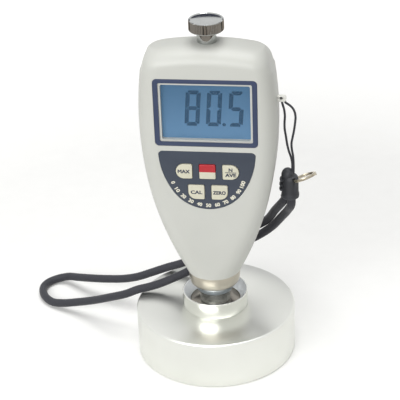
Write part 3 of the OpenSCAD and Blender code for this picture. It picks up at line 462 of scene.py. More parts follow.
def case_skin(bm, inset, walls, rounds, steps, spans, hollow=0.0):
    """Adds one skin of the front shell: a flat grid bent round the case, from its sole to its ridge."""
    low, high = CASE_Z + inset, TOP_Z - inset
    rise, side, deep = TOP_RISE - inset, TOP_SIDE - inset, TOP_FRONT - inset
    edge = FOOT_EDGE if inset == 0 else 0.05
    shoulder = high - rise - crown(side_x(high - rise)) - 1
    arcs = [math.pi/2*i/rounds for i in range(rounds + 1)]
    rows = [(low, edge, edge, 0, share) for share in (1, 0.6, 0.3)]
    rows += [(low + edge*(1 - math.cos(a)), edge*(1 - math.sin(a)), edge*(1 - math.sin(a)), 0, 0)
             for a in arcs[:-1]]
    rows += [(low + edge + (shoulder - low - edge)*i/walls, 0, 0, 0, 0) for i in range(walls + 1)]
    rows += [(high - rise*(1 - math.sin(a)), side*(1 - math.cos(a)), deep*(1 - math.cos(a)), 1, 0) for a in arcs]
    rows += [(high, side, deep, 1, share) for share in (0.3, 0.6, 1)]
    sections = []
    for z, back_x, back_y, _, _ in rows:
        w = side_x(z) - inset - back_x
        d = CASE_D/2 + (FOOT_HALF - CASE_D/2)*round_part(z) - inset - back_y
        r = CORNER_R + (FOOT_HALF - CORNER_R)*round_part(z) - inset - back_x
        sections.append(half_section(w, d, min(r, w - 0.5, d - 0.5), steps, spans))
    across, up = len(sections[0]) - 1, len(rows) - 1
    skin = bmesh.ops.create_grid(bm, x_segments=across, y_segments=up, size=1)["verts"]
    for vert in skin:
        j, i = round((vert.co.x + 1)/2*across), round((vert.co.y + 1)/2*up)
        x, y = sections[i][j]
        z, _, _, crowned, squeeze = rows[i]
        away = math.hypot(x, z - DIMPLE_Z)/DIMPLE_R
        pressed = hollow*(1 - away**2)**1.5 if away < 1 and y < -CASE_D/4 else 0
        vert.co = (x, y*(1 - squeeze) + pressed, z - crowned*crown(x))


def case_shell(hollow):
    """The front shell with its wall, closed along the parting plane."""
    bm = bmesh.new()
    case_skin(bm, 0, 110, 10, 12, 28, hollow)
    case_skin(bm, WALL, 110, 10, 12, 28)
    bmesh.ops.bridge_loops(bm, edges=[e for e in bm.edges if e.is_boundary])
    bmesh.ops.remove_doubles(bm, verts=bm.verts, dist=0.001)
    outward(bm)
    return bm


def arc(x, z, r, start, end, steps):
    """Points on an arc, as sideways place and height, with its angles in degrees."""
    angles = [math.radians(start + (end - start)*i/steps) for i in range(steps + 1)]
    return [(x + r*math.cos(a), z + r*math.sin(a)) for a in angles]


def round_box(x, z, w, h, radii, steps=8):
    """Outline of a box with four corner radii, from the lower left anticlockwise."""
    a, b, c, d = radii
    return [*arc(x - w/2 + a, z - h/2 + a, a, 180, 270, steps), *arc(x + w/2 - b, z - h/2 + b, b, 270, 360, steps),
            *arc(x + w/2 - c, z + h/2 - c, c, 0, 90, steps), *arc(x - w/2 + d, z + h/2 - d, d, 90, 180, steps)]


def slab(bm, outline, front, back):
    """Adds a flat plate: an outline on the front, pushed from one depth to another."""
    face = bm.faces.new([bm.verts.new((x, front, z)) for x, z in outline])
    pushed = bmesh.ops.extrude_face_region(bm, geom=[face])["geom"]
    verts = [v for v in pushed if isinstance(v, bmesh.types.BMVert)]
    bmesh.ops.translate(bm, vec=(0, back - front, 0), verts=verts)


def plates(front, back, *outlines):
    """A new mesh of flat plates between two depths, one for each outline."""
    bm = bmesh.new()
    for outline in outlines:
        slab(bm, outline, front, back)
    return bm


def round_bar(bm, d, length, place, sides):
    """Adds a round bar, upright until its place turns it."""
    bmesh.ops.create_cone(bm, cap_ends=True, segments=sides, radius1=d/2, radius2=d/2, depth=length, matrix=place)


def rod(bm, d, x, z, start, end, sides=48):
    """Adds a round rod along the depth, between two depths."""
    place = Matrix.Translation((x, (start + end)/2, z)) @ Matrix.Rotation(math.pi/2, 4, "X")
    round_bar(bm, d, abs(end - start), place, sides)


def post(bm, d, low, high, sides=96):
    """Adds an upright rod on the axis, between two heights."""
    round_bar(bm, d, high - low, Matrix.Translation((0, 0, (low + high)/2)), sides)


# ABS with a fine eroded texture: a warm pale grey, matt, with a soft highlight and faint mould flow
abs_grey = grained("eroded_abs", 0.04, 2.0, "#bfc0ba", "#c9cac4", (0.36, 0.52), (0.0006, 5.0), (0.12, 0.00005),
                   IOR=1.53, Subsurface_Weight=0.04, Subsurface_Radius=(0.002, 0.002, 0.0015))

# Openings of the front shell: the bezel's and the keypad's shallow pockets, the window and the five keys
DISPLAY_Z, BEZEL, VIEW, PANEL_T = 133.1, (47.6, 33.4), (42.2, 28.6), 0.6
PAD_Z, PAD_HALF, PAD_SIDE_R, PAD_TIP_R, PAD_CORNER = 113.7, 22.6, 38.0, 19.2, 2.0
RIM, COLLAR_HOLE, STUD_HOLE, SHARP = 0.55, 17.2, 6.2, 32
UPPER_Z, LOWER_Z, KEY_PITCH, KEY_W, KEY_H, KEY_EDGE, KEY_GAP = 103.5, 92.75, 10.9, 7.6, 7.4, 0.6, 0.25
KEYS = {"hold": (-1, UPPER_Z, (1, 0, 0, 1)), "power": (0, UPPER_Z, (0, 0, 0, 0)),
        "average": (1, UPPER_Z, (0, 1, 1, 0)), "set": (-0.5, LOWER_Z, (1, 0, 0, 0)),
        "zero": (0.5, LOWER_Z, (0, 1, 0, 0))}
pad_reach = PAD_SIDE_R - PAD_HALF
pad_turn = math.degrees(math.acos(pad_reach/(PAD_SIDE_R - PAD_TIP_R)))
pad_tip_z = PAD_Z - (PAD_SIDE_R - PAD_TIP_R)*math.sin(math.radians(pad_turn))


def pad_outline(grow):
    start = math.degrees(math.asin(PAD_CORNER/PAD_SIDE_R))
    return [*arc(PAD_HALF - PAD_CORNER, PAD_Z - PAD_CORNER, PAD_CORNER + grow, 90, 0, 10),
            *arc(-pad_reach, PAD_Z, PAD_SIDE_R + grow, -start, -pad_turn, 24),
            *arc(0, pad_tip_z, PAD_TIP_R + grow, -pad_turn - 3, pad_turn - 177, 48),
            *arc(pad_reach, PAD_Z, PAD_SIDE_R + grow, pad_turn - 180, start - 180, 24),
            *arc(PAD_CORNER - PAD_HALF, PAD_Z - PAD_CORNER, PAD_CORNER + grow, 180, 90, 10)]


def key_outline(key, grow):
    column, z, ends = KEYS[key]
    radii = [KEY_EDGE + grow + share*(KEY_H/2 - KEY_EDGE) for share in ends]
    return round_box(column*KEY_PITCH, z, KEY_W + 2*grow, KEY_H + 2*grow, radii, 12)


def view_outline(grow):
    return round_box(0, DISPLAY_Z, VIEW[0] + 2*grow, VIEW[1] + 2*grow, [0.8]*4)


def bezel_outline(grow):
    return round_box(0, DISPLAY_Z, BEZEL[0] + 2*grow, BEZEL[1] + 2*grow, [2 + grow]*4, 10)


def smooth_again(piece):
    """Shades a piece smooth after its cuts, with sharp edges where its faces turn away."""
    piece.data.shade_smooth()
    piece.data.set_sharp_from_angle(angle=math.radians(SHARP))


front = finish_piece("front_shell_moulding", case_shell(DIMPLE_T), abs_grey, "tester", SHARP)
key_holes = [key_outline(key, KEY_GAP) for key in KEYS]
cut(front, plates(FRONT_Y - 2, FRONT_Y + PANEL_T, bezel_outline(0.1), pad_outline(0.1)))
bm = plates(FRONT_Y - 2, FRONT_Y + WALL + 1, view_outline(-RIM), *key_holes)
post(bm, COLLAR_HOLE, CASE_Z - 2, CASE_Z + 4)
post(bm, STUD_HOLE, TOP_Z - 6, TOP_Z + 3)
cut(front, bm)
smooth_again(front)
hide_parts("front_shell")

# Openings of the rear shell: the battery door's, its pivots' and finger notch's, and the screws' recesses
DOOR_W, DOOR_T, BAY_Z, DOOR_TOP, DOOR_GAP = 41.0, 2.0, 88.0, 137.3, 0.25
PIVOT_Y, PIVOT_Z, PIVOT_D, PIVOT_LEN = 12.0, 136.3, 1.2, 1.2
SCREWS = [(side*x, z, seat) for side in (-1, 1) for x, z, seat in ((22, 155.5, 8.0), (13.5, 68.0, 8.99))]
HEAD_HOLE, NOTCH_D, NOTCH_Y = 4.8, 12, 12.1
DOOR_H, DOOR_Z = DOOR_TOP - BAY_Z, (BAY_Z + DOOR_TOP)/2


def pivot(bm, d, length):
    """Adds the round bar of the door's two pivots, along the door's top."""
    place = Matrix.Translation((0, PIVOT_Y, PIVOT_Z)) @ Matrix.Rotation(math.pi/2, 4, "Y")
    round_bar(bm, d, length, place, 24)


bm = case_shell(0)
bmesh.ops.scale(bm, vec=(1, -1, 1), verts=bm.verts)
bmesh.ops.reverse_faces(bm, faces=bm.faces)
rear = finish_piece("rear_shell_moulding", bm, abs_grey, "tester", SHARP)
bm = plates(9, 15, round_box(0, DOOR_Z, DOOR_W + 2*DOOR_GAP, DOOR_H + 2*DOOR_GAP, [0.6]*4))
pivot(bm, PIVOT_D + 0.1, DOOR_W + 2*(DOOR_GAP + PIVOT_LEN))
for x, z, seat in SCREWS:
    rod(bm, HEAD_HOLE, x, z, seat, 16)
post(bm, COLLAR_HOLE, CASE_Z - 2, CASE_Z + 4)
post(bm, STUD_HOLE, TOP_Z - 6, TOP_Z + 3)
cut(rear, bm)
bm = bmesh.new()
rod(bm, NOTCH_D, 0, BAY_Z - DOOR_GAP, NOTCH_Y, 16, 64)
cut(rear, bm)
smooth_again(rear)
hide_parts("rear_shell")

# Battery bay and screw bosses, moulded on the rear shell's inside
# The bay is a thin box that is open to the back, and each boss is a tube that the screw's head sits in.
# Both come out of the mould with the shell.
BAY_W, BAY_WALL, BAY_FLOOR = 42.8, 1.2, -0.2
BOSS_R, BOSS_Y, SHANK_R, RECESS = 3.2, 0.2, 1.35, 2.2
box, hollow = (round_box(0, DOOR_Z, BAY_W + 2*t, DOOR_H + 2*t, [0.4]*4, 4) for t in (BAY_WALL, 0))
bay = finish_piece("battery_bay", plates(BAY_FLOOR - BAY_WALL, 11.05, box), abs_grey, "tester")
cut(bay, plates(BAY_FLOOR, 14, hollow))


def drawn_out(bm, ring):
    """Draws a ring of edges out to a new ring, still in the same place."""
    out = bmesh.ops.extrude_edge_only(bm, edges=ring)["geom"]
    return [e for e in out if isinstance(e, bmesh.types.BMEdge)]


bm = bmesh.new()
for x, z, seat in SCREWS:
    place = Matrix.Translation((x, BOSS_Y, z)) @ Matrix.Rotation(math.pi/2, 4, "X")
    tube = bmesh.ops.create_circle(bm, segments=48, radius=BOSS_R, matrix=place)
    ring = list({e for v in tube["verts"] for e in v.link_edges})
    for y, r in ((seat + RECESS, BOSS_R), (seat + RECESS, HEAD_HOLE/2), (seat, HEAD_HOLE/2), (seat, SHANK_R),
                 (BOSS_Y, SHANK_R)):
        ring = drawn_out(bm, ring)
        for vert in {v for e in ring for v in e.verts}:
            flat = Vector((vert.co.x - x, 0, vert.co.z - z)).normalized()*r
            vert.co = (x + flat.x, y, z + flat.z)
outward(bm)
bosses = finish_piece("screw_bosses", bm, abs_grey, "tester")

# Battery door
# A snap cover of the same ABS. Two pivots at its top turn in the shell, and finger ribs at its lower end
# show where to press.
bm = plates(CASE_D/2 - DOOR_T, CASE_D/2, round_box(0, DOOR_Z, DOOR_W, DOOR_H, [0.5]*4))
ease_edges(bm, 0.25, 3, 1.0)
pivot(bm, PIVOT_D, DOOR_W + 2*PIVOT_LEN)
door = finish_piece("battery_door_cover", bm, abs_grey, "battery_door", SHARP)
grooves = [round_box(0, BAY_Z + 5.4 + 1.6*i, 14 - 2*i, 0.8, [0.35]*4) for i in range(6)]
cut(door, plates(12.6, 14, *grooves))
smooth_again(door)
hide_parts("battery_door")

# Display bezel
# A thin moulded panel, printed navy blue on its face, glued in a shallow pocket of the front shell.
# Its opening leaves the shell's pale rim in sight round the window.
bm = plates(FRONT_Y, FRONT_Y + PANEL_T, bezel_outline(0))
ease_edges(bm, 0.15, 2, 1.0)

# Printed film: a satin ink with fine grain. The bezel's is navy, and the keypad's is a greyer slate blue
inks = {name: grained(name, 0.012, 2.0, dark, light, (0.34, 0.5), (0.0005, 3.0), (0.08, 0.00003), IOR=1.5)
        for name, dark, light in (("navy_print", "#2c3856", "#36425f"), ("slate_print", "#313947", "#3b4351"))}
bezel = finish_piece("bezel_panel", bm, inks["navy_print"], "tester")
cut(bezel, plates(FRONT_Y - 1, FRONT_Y + 1, view_outline(0.4)))
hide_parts("display_bezel")

# Display window and liquid crystal panel
# A clear acrylic window lies behind the case's rim. The panel behind it is lit from the back through a
# blue film, a little brighter towards the lamp at its lower edge, and its segments show dark slate.
INNER_Y, LCD_Y = -11.0, -10.2
bm = plates(INNER_Y, LCD_Y, view_outline(1))
ease_edges(bm, 0.1, 1, 1.0)
# Clear acrylic: nearly invisible, with a hard polished reflection
acrylic, tree, shader = start_material("clear_acrylic", Roughness=0.04, IOR=1.49, Alpha=0.06)
shader.inputs["Base Color"].default_value = linear("#2a3642")
gloss = add(tree, "ShaderNodeMapRange", {0: noise(tree, 0.015, 3.0), 3: 0.02, 4: 0.1})
tree.links.new(gloss.outputs[0], shader.inputs["Roughness"])
window = finish_piece("window_pane", bm, acrylic, "tester")
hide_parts("display_window")

bm = plates(LCD_Y + 0.06, LCD_Y + 2.2, view_outline(0.6))
ease_edges(bm, 0.1, 1, 1.0)
# Polarised glass over a lit blue film: deeper blue at the top, with faint lines of the film's grain
lcd_glass, tree, shader = start_material("lit_blue_film", Roughness=0.3, IOR=1.5, Specular_IOR_Level=0.15)
place = add(tree, "ShaderNodeTexCoord")
parts = add(tree, "ShaderNodeSeparateXYZ", {0: place.outputs["Object"]})
height = add(tree, "ShaderNodeMapRange", {0: parts.outputs[2], 1: (DISPLAY_Z - VIEW[1]/2)*MM,
                                          2: (DISPLAY_Z + VIEW[1]/2)*MM})
lines = noise(tree, 1.0, 2.0, (90, 90, 2600))
uneven = add(tree, "ShaderNodeMath", {0: lines, 1: 0.12, 2: height.outputs[0]}, operation="MULTIPLY_ADD")
tint = add(tree, "ShaderNodeValToRGB", {0: uneven.outputs[0]})
tint.color_ramp.elements[0].position, tint.color_ramp.elements[0].color = 0.05, linear("#6388aa")
tint.color_ramp.elements[1].position, tint.color_ramp.elements[1].color = 1.0, linear("#4b6d8b")
tree.links.new(tint.outputs[0], shader.inputs["Base Color"])
tree.links.new(tint.outputs[0], shader.inputs["Emission Color"])
shader.inputs["Emission Strength"].default_value = 0.25
lcd = finish_piece("lcd_glass_panel", bm, lcd_glass, "tester")
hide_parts("lcd_panel")

# Segments of the reading: three slanted digits of seven bars, and a point
DIGIT_W, DIGIT_H, BAR, SLIT, SLANT = 6.9, 17.7, 1.9, 0.12, 0.075
READING = ((-10.25, "abcdefg"), (-0.4, "abcdef"), (9.7, "acdfg"))
DIGIT_Z, POINT_X, POINT_Z, POINT_R = 125.6, 8.1, 126.5, 0.85


def bar_shape(bar):
    """Corners of one bar of a digit, from the digit's lower left."""
    w, h, t, g, m = DIGIT_W, DIGIT_H, BAR, SLIT, DIGIT_H/2
    upright_bar = [(0, h - t/2 - g), (t/2, h - t/2 - g), (t, h - t - g), (t, m + t/2 + g), (t/2, m + g), (0, m + g)]
    top_bar = [(t/2 + g, h), (w - t/2 - g, h), (w - t/2 - g, h - t/2), (w - t - g, h - t), (t + g, h - t),
               (t/2 + g, h - t/2)]
    shapes = {"a": top_bar, "d": [(x, h - z) for x, z in top_bar], "f": upright_bar,
              "b": [(w - x, z) for x, z in upright_bar], "e": [(x, h - z) for x, z in upright_bar],
              "c": [(w - x, h - z) for x, z in upright_bar],
              "g": [(t/2 + g, m), (t + g, m + t/2), (w - t - g, m + t/2), (w - t/2 - g, m), (w - t - g, m - t/2),
                    (t + g, m - t/2)]}
    return shapes[bar]


digits = [[(left + x + SLANT*z, DIGIT_Z + z) for x, z in bar_shape(bar)] for left, bars in READING for bar in bars]
bm = plates(LCD_Y + 0.02, LCD_Y + 0.08, *digits, arc(POINT_X, POINT_Z, POINT_R, 0, 330, 11))
outward(bm)
# Darkened liquid crystal: slate blue, a little cloudy, and half clear
segments = grained("dark_segments", 0.0025, 2.0, "#2c4863", "#375673", Roughness=0.35, IOR=1.5,
                   Specular_IOR_Level=0.15, Alpha=0.56)
reading = finish_piece("lcd_reading", bm, segments, "tester")

# Keypad panel
# A thin panel like the bezel, set in its own pocket, with five openings for the keys. A plain scale of
# tens is printed in cream along its round lower edge.
bm = plates(FRONT_Y, FRONT_Y + PANEL_T, pad_outline(0))
ease_edges(bm, 0.15, 2, 1.0)
pad = finish_piece("keypad_plate", bm, inks["slate_print"], "tester")
cut(pad, plates(FRONT_Y - 1, FRONT_Y + 1, *key_holes))
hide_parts("keypad_panel")


def lettering(bm, words, height, place, width):
    """Adds printed words as thin flat shapes of a given size, centred, bold by copies set side by side."""
    text = bpy.data.curves.new("words", "FONT")
    text.body, text.extrude, text.resolution_u = words, 0.012, 4
    holder = bpy.data.objects.new("words", text)
    scene.collection.objects.link(holder)
    flat = bpy.data.meshes.new_from_object(holder.evaluated_get(bpy.context.evaluated_depsgraph_get()))
    bpy.data.objects.remove(holder)
    low = Vector([min(v.co[i] for v in flat.vertices) for i in range(3)])
    high = Vector([max(v.co[i] for v in flat.vertices) for i in range(3)])
    for dx, dz in ((-1, -1), (1, -1), (-1, 1), (1, 1)):
        known = len(bm.verts)
        bm.from_mesh(flat)
        bm.verts.ensure_lookup_table()
        verts = bm.verts[known:]
        bmesh.ops.translate(bm, vec=-(low + high)/2, verts=verts)
        bmesh.ops.scale(bm, vec=((width - 0.2)/(high.x - low.x), (height - 0.16)/(high.y - low.y), 1), verts=verts)
        bmesh.ops.translate(bm, vec=(dx*0.1, dz*0.08, 0.0004*(dx + 2*dz)), verts=verts)
        bmesh.ops.transform(bm, matrix=place @ Matrix.Rotation(math.pi/2, 4, "X"), verts=verts)


# Screen printed ink: flat and matt, with pinholes where the screen left it thin
cream_ink = grained("cream_ink", 0.0006, 2.0, "#c9c6b4", "#eeebdc", Roughness=0.6, IOR=1.45)
SCALE_R, SCALE_FROM, SCALE_TO = 17.2, 199.0, 341.0
bm = bmesh.new()
for i in range(11):
    angle = math.radians(SCALE_FROM + (SCALE_TO - SCALE_FROM)*i/10)
    place = Matrix.Translation((SCALE_R*math.cos(angle), FRONT_Y - 0.014, pad_tip_z + SCALE_R*math.sin(angle)))
    lettering(bm, str(10*i), 1.9, place @ Matrix.Rotation(-angle - math.pi/2, 4, "Y"), 1.25*len(str(10*i)))
scale_print = finish_piece("keypad_scale", bm, cream_ink, "tester")

# Keys
# Five caps of cream ABS with flat faces and eased edges, each with a flange behind the wall.
# Their functions are printed in slate ink, and the power key's upper half is red.
cream = grained("cream_abs", 0.006, 2.0, "#c8c5af", "#d5d2bf", (0.36, 0.52), (0.0005, 3.0), IOR=1.53)
# The same ABS, with red ink on the key's upper half
red_cream, tree, shader = start_material("red_and_cream_abs", Roughness=0.42, IOR=1.53)
place = add(tree, "ShaderNodeTexCoord")
parts = add(tree, "ShaderNodeSeparateXYZ", {0: place.outputs["Object"]})
upper = add(tree, "ShaderNodeMath", {0: parts.outputs[2], 1: UPPER_Z*MM - 0.0001}, operation="GREATER_THAN")
handled = noise(tree, 0.003, 3.0)
pale, red = blend(tree, handled, "#c8c5af", "#d5d2bf"), blend(tree, handled, "#ab1722", "#bb2731")
tint = add(tree, "ShaderNodeMix", {0: upper.outputs[0], 6: pale, 7: red}, data_type="RGBA")
tree.links.new(tint.outputs[2], shader.inputs["Base Color"])

slate_ink = grained("slate_ink", 0.0006, 2.0, "#23283a", "#3a4056", Roughness=0.55, IOR=1.45)
KEY_FRONT, FLANGE_FRONT, FLANGE_BACK = FRONT_Y - 0.5, INNER_Y + 0.05, INNER_Y + 0.85
STEM_D, STEM_FRONT, STEM_BACK = 3, INNER_Y + 0.65, -9.65
LEGENDS = {"hold": ((-0.1, 0, 1.85, 5.7, "MAX"),), "set": ((0.1, 0, 1.85, 5.5, "CAL"),),
           "zero": ((-0.1, 0, 1.85, 6.0, "ZERO"),),
           "average": ((0, 1.35, 1.8, 1.8, "N"), (0, -1.35, 1.8, 5.1, "AVE"))}
for key, (column, z, _) in KEYS.items():
    bm = plates(KEY_FRONT, FLANGE_BACK, key_outline(key, 0))
    face = min(bm.faces, key=lambda f: f.calc_center_median().y)
    bmesh.ops.bevel(bm, geom=list(face.edges), offset=0.35, offset_type="OFFSET", segments=4, profile=0.5,
                    affect="EDGES", clamp_overlap=True, material=-1)
    slab(bm, key_outline(key, 0.5), FLANGE_FRONT, FLANGE_BACK)
    rod(bm, STEM_D, column*KEY_PITCH, z, STEM_FRONT, STEM_BACK, 32)
    outward(bm)
    cap = finish_piece(key + "_key_cap", bm, red_cream if key == "power" else cream, key + "_key")
    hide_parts(key + "_key")
    if key in LEGENDS:
        bm = bmesh.new()
        for dx, dz, size, width, words in LEGENDS[key]:
            place = Matrix.Translation((column*KEY_PITCH + dx, KEY_FRONT - 0.014, z + dz))
            lettering(bm, words, size, place, width)
        if key == "average":
            slab(bm, round_box(column*KEY_PITCH, z, 5.3, 0.3, [0.05]*4, 2), KEY_FRONT - 0.026, KEY_FRONT - 0.002)
            outward(bm)
        legend = finish_piece(key + "_key_legend", bm, slate_ink, key + "_key")

# Thumb screw: stud and knurled knob
# A turned brass screw with polished chrome plate. The head is straight knurled, with chamfered edges and
# a slightly domed face, and the stud's neck stands on the case's crowned top.
KNOB_Z, KNOB_H, KNOB_R, RIDGES, RIDGE_T = 168.95, 5.1, 8.1, 60, 0.3
BORE_D, BORE_H = 6.1, 3.05
bm = turned([(0, 152.85), (2.5, 152.85), (3, 153.35), (3, 163.4), (4.55, 163.4), (4.55, 168.9), (3, 168.9),
             (3, 171.9), (0, 171.9)], 96)
ease_edges(bm, 0.15)

# Chrome plate: a hard mirror with a few smears
chrome = grained("chrome_plate", 0.003, 4.0, "#b0b2b1", "#c2c4c3", (0.04, 0.14), Metallic=1.0)
stud = finish_piece("stud_turned", bm, chrome, "knob_stud", 25)
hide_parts("knob_stud")

bm = bmesh.new()
bmesh.ops.create_circle(bm, segments=RIDGES*4, radius=KNOB_R)
ring = list(bm.edges)
for z, by in ((0, 0.35), (0.35, 0), (KNOB_H - 0.2, 0), (KNOB_H, 0.2)):
    for vert in {v for e in ring for v in e.verts}:
        angle = math.atan2(vert.co.y, vert.co.x)
        groove = abs((angle*RIDGES/(2*math.pi)) % 1 - 0.5)*2
        r = min(KNOB_R - RIDGE_T*groove, KNOB_R - by)
        vert.co = (r*math.cos(angle), r*math.sin(angle), z)
    if z < KNOB_H:
        ring = drawn_out(bm, ring)
dome = ((7.2, 0.09), (6.2, 0.18), (4.6, 0.27), (2.4, 0.34), (0.3, 0.36))
for r, rise in dome:
    ring = drawn_out(bm, ring)
    for vert in {v for e in ring for v in e.verts}:
        angle = math.atan2(vert.co.y, vert.co.x)
        vert.co = (r*math.cos(angle), r*math.sin(angle), KNOB_H - 0.36 + rise)
bmesh.ops.holes_fill(bm, edges=[e for e in bm.edges if e.is_boundary], sides=0)
outward(bm)
bmesh.ops.translate(bm, vec=(0, 0, KNOB_Z), verts=bm.verts)
knob = finish_piece("knob_knurled", bm, chrome, "top_knob", 20)
bm = bmesh.new()
post(bm, BORE_D, KNOB_Z - 1, KNOB_Z + BORE_H, 48)
cut(knob, bm)
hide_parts("top_knob")

# Strap lug
# A small moulded block of white ABS on a root that the two shells trap. It has a hole in its front for
# the string's knot, and the string goes in from below.
LUG_X, LUG_Z, LUG_OUT, LUG_H, LUG_T = 31.89, 135.75, 3.9, 2.8, 2.2
EYE_X, EYE_Z, EYE_D, KNOT_R = LUG_X + LUG_OUT/2 - 0.3, LUG_Z + 0.4, 1.5, 0.72
block = round_box(LUG_X - 1.4 + LUG_OUT/2, LUG_Z, LUG_OUT + 2.8, LUG_H, [0.1, 1.0, 1.0, 0.1])
bm = plates(-LUG_T/2, LUG_T/2, block)
ease_edges(bm, 0.3, 3, 1.0)
# White ABS: polished in the mould, with a slight haze
white_abs = grained("white_abs", 0.0008, 3.0, "#e0e0d8", "#ecece6", (0.3, 0.45), IOR=1.53)
lug = finish_piece("lug_block", bm, white_abs, "tester")
bm = bmesh.new()
rod(bm, EYE_D, EYE_X, EYE_Z, -LUG_T, LUG_T, 32)
cut(lug, bm)
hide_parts("strap_lug")
bm = bmesh.new()
bm.loops.layers.uv.new("weave")
bmesh.ops.create_uvsphere(bm, u_segments=24, v_segments=16, radius=KNOT_R, calc_uvs=True)
bmesh.ops.translate(bm, vec=(EYE_X, 0, EYE_Z), verts=bm.verts)
knot = finish_piece("string_knot", bm, braid_black, "tester")

# Parts inside the case
# They keep their solids and get the finish of the real part: brass, steel wire, copper winding, green
# board, black switches, film wrapped cells and a white light guide.
INSIDE = {
    "turned_barrel": ("#a9acab", "#b8bbba", 1.0, 0.25, 0.4, 0.002, ("probe_barrel", "barrel_cap")),
    "turned_brass": ("#a88d52", "#c2a86b", 1.0, 0.2, 0.35, 0.002, ("barrel_nut", "top_bush")),
    "hardened_steel": ("#63686c", "#7c8185", 1.0, 0.15, 0.3, 0.003, ("indenter",)),
    "spring_steel": ("#9da0a2", "#bfc2c3", 1.0, 0.2, 0.35, 0.001, ("indenter_spring", "battery_contacts")),
    "blackened_screws": ("#6f7274", "#8d9092", 1.0, 0.3, 0.45, 0.001, ("case_screws",)),
    "copper_winding": ("#6d3d20", "#8c532d", 0.6, 0.3, 0.5, 0.0004, ("travel_sensor",)),
    "film_wrapped_cells": ("#2f5d88", "#3d6f9c", 0.2, 0.25, 0.35, 0.006, ("battery_cells",)),
    "light_guide": ("#e2e6de", "#eef1ea", 0.0, 0.4, 0.5, 0.004, ("lcd_backlight",)),
    "solder_resist": ("#1f5436", "#2d6b47", 0.0, 0.3, 0.45, 0.002, ("circuit_board",)),
    "switch_plastic": ("#222427", "#303236", 0.0, 0.4, 0.55, 0.001, ("key_switches",))}
for name, (dark, light, metal, low, high, grain_size, shown) in INSIDE.items():
    finish = grained(name, grain_size, 3.0, dark, light, (low, high), Metallic=metal)
    for node in shown:
        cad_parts[node].data.materials.clear()
        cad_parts[node].data.materials.append(finish)

# Floor and light
# White studio paper under the tester, a large soft light from the front left and one overhead. The paper
# keeps the soft shadows near the tester and glows far from it, so that it ends in plain white.


def bare_tree(owner):
    """Turns on the nodes of a material or the world, and clears them."""
    owner.use_nodes = True
    owner.node_tree.nodes.clear()
    return owner.node_tree


def put_up(name, bm, look):
    """Puts a flat thing of the studio in the scene, and gives it and its material's bare node tree."""
    mesh = bpy.data.meshes.new(name)
    bm.to_mesh(mesh)
    bm.free()
    mesh.materials.append(bpy.data.materials.new(look))
    made = bpy.data.objects.new(name, mesh)
    scene.collection.objects.link(made)
    return made, bare_tree(mesh.materials[0])


def seen_rays(tree):
    """A node that is 1 for the rays that show a surface, straight, in a mirror or through glass, and else 0."""
    ray = add(tree, "ShaderNodeLightPath")
    glossy = add(tree, "ShaderNodeMath", {0: ray.outputs["Is Camera Ray"], 1: ray.outputs["Is Glossy Ray"]},
                 operation="MAXIMUM")
    return add(tree, "ShaderNodeMath", {0: glossy.outputs[0], 1: ray.outputs["Is Transmission Ray"]},
               operation="MAXIMUM")


bm = bmesh.new()
bmesh.ops.create_grid(bm, x_segments=4, y_segments=4, size=4)
floor, tree = put_up("floor", bm, "studio_paper")
through = seen_rays(tree)
place = add(tree, "ShaderNodeTexCoord")
far = add(tree, "ShaderNodeVectorMath", {0: place.outputs["Object"]}, operation="LENGTH")
spread = add(tree, "ShaderNodeMapRange", {0: far.outputs["Value"], 1: 0.22, 2: 1.0, 3: 0.09, 4: 0.9})
glow = add(tree, "ShaderNodeMath", {0: through.outputs[0], 1: spread.outputs[0]}, operation="MULTIPLY")
tint = blend(tree, noise(tree, 0.01, 3.0), "#efefed", "#f4f4f2")
diffuse = add(tree, "ShaderNodeBsdfDiffuse", {"Color": tint})
shine = add(tree, "ShaderNodeEmission", {"Color": (1, 1, 1, 1), "Strength": glow.outputs[0]})
both = add(tree, "ShaderNodeAddShader", {0: diffuse.outputs[0], 1: shine.outputs[0]})
add(tree, "ShaderNodeOutputMaterial", {"Surface": both.outputs[0]})

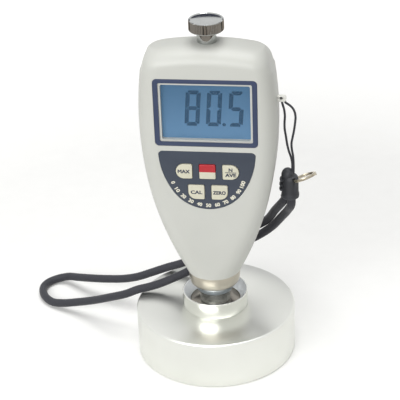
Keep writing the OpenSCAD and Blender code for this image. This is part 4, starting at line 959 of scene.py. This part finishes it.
world = bpy.data.worlds.new("studio")
scene.world = world
tree = bare_tree(world)
through = seen_rays(tree)
strength = add(tree, "ShaderNodeMapRange", {0: through.outputs[0], 3: 0.2, 4: 1.0})
backdrop = add(tree, "ShaderNodeBackground", {"Color": (1, 1, 1, 1), "Strength": strength.outputs[0]})
add(tree, "ShaderNodeOutputWorld", {"Surface": backdrop.outputs[0]})

for name, spot, aim, wide, high, power in (
        ("key_light", (-0.37, -1.07, 0.70), (0, 0, 0.06), 1.2, 0.45, 11.3),
        ("top_light", (0.1, 0.1, 2.4), (0, 0, 0.1), 1.6, 1.6, 38.0)):
    lamp = bpy.data.lights.new(name, "AREA")
    lamp.shape, lamp.size, lamp.size_y, lamp.energy = "RECTANGLE", wide, high, power
    holder = bpy.data.objects.new(name, lamp)
    holder.location = spot
    holder.rotation_euler = (Vector(aim) - Vector(spot)).to_track_quat("-Z", "Y").to_euler()
    scene.collection.objects.link(holder)

# Dark surroundings that only bright metal shows
# The brown table before the paper's edge, and a dark cloth low behind it. They are flat cards that only
# reflections see, so that they change neither the light nor the shadows.
TABLE_IN, TABLE_OUT = 0.24, 1.6
cards = {name: (colour, [(x, y, 0.002) for x, y in (*arc(0, 0, TABLE_IN, start, end, steps),
                                                    *arc(0, 0, TABLE_OUT, end, start, steps))])
         for name, colour, start, end, steps in (
             ("table_front", "#a89f96", -146, -34, 24), ("table_left", "#a3968a", -200, -158, 12),
             ("table_right", "#a3968a", -22, 20, 12), ("table_gap_left", "#3b3936", -158, -146, 4),
             ("table_gap_right", "#3b3936", -34, -22, 4))}
cloth = [(x, 1.5, z) for x, z in ((-0.62, 0.4), (0.3, 0.4), (0.3, 0.71), (-0.62, 0.71))]
cards["cloth_behind"] = ("#474a58", cloth)
for name, (colour, corners) in cards.items():
    bm = bmesh.new()
    bm.faces.new([bm.verts.new(corner) for corner in corners])
    card, tree = put_up(name, bm, name)
    card.visible_camera = card.visible_diffuse = card.visible_shadow = False
    shine = add(tree, "ShaderNodeEmission", {"Color": linear(colour), "Strength": 1.0})
    add(tree, "ShaderNodeOutputMaterial", {"Surface": shine.outputs[0]})
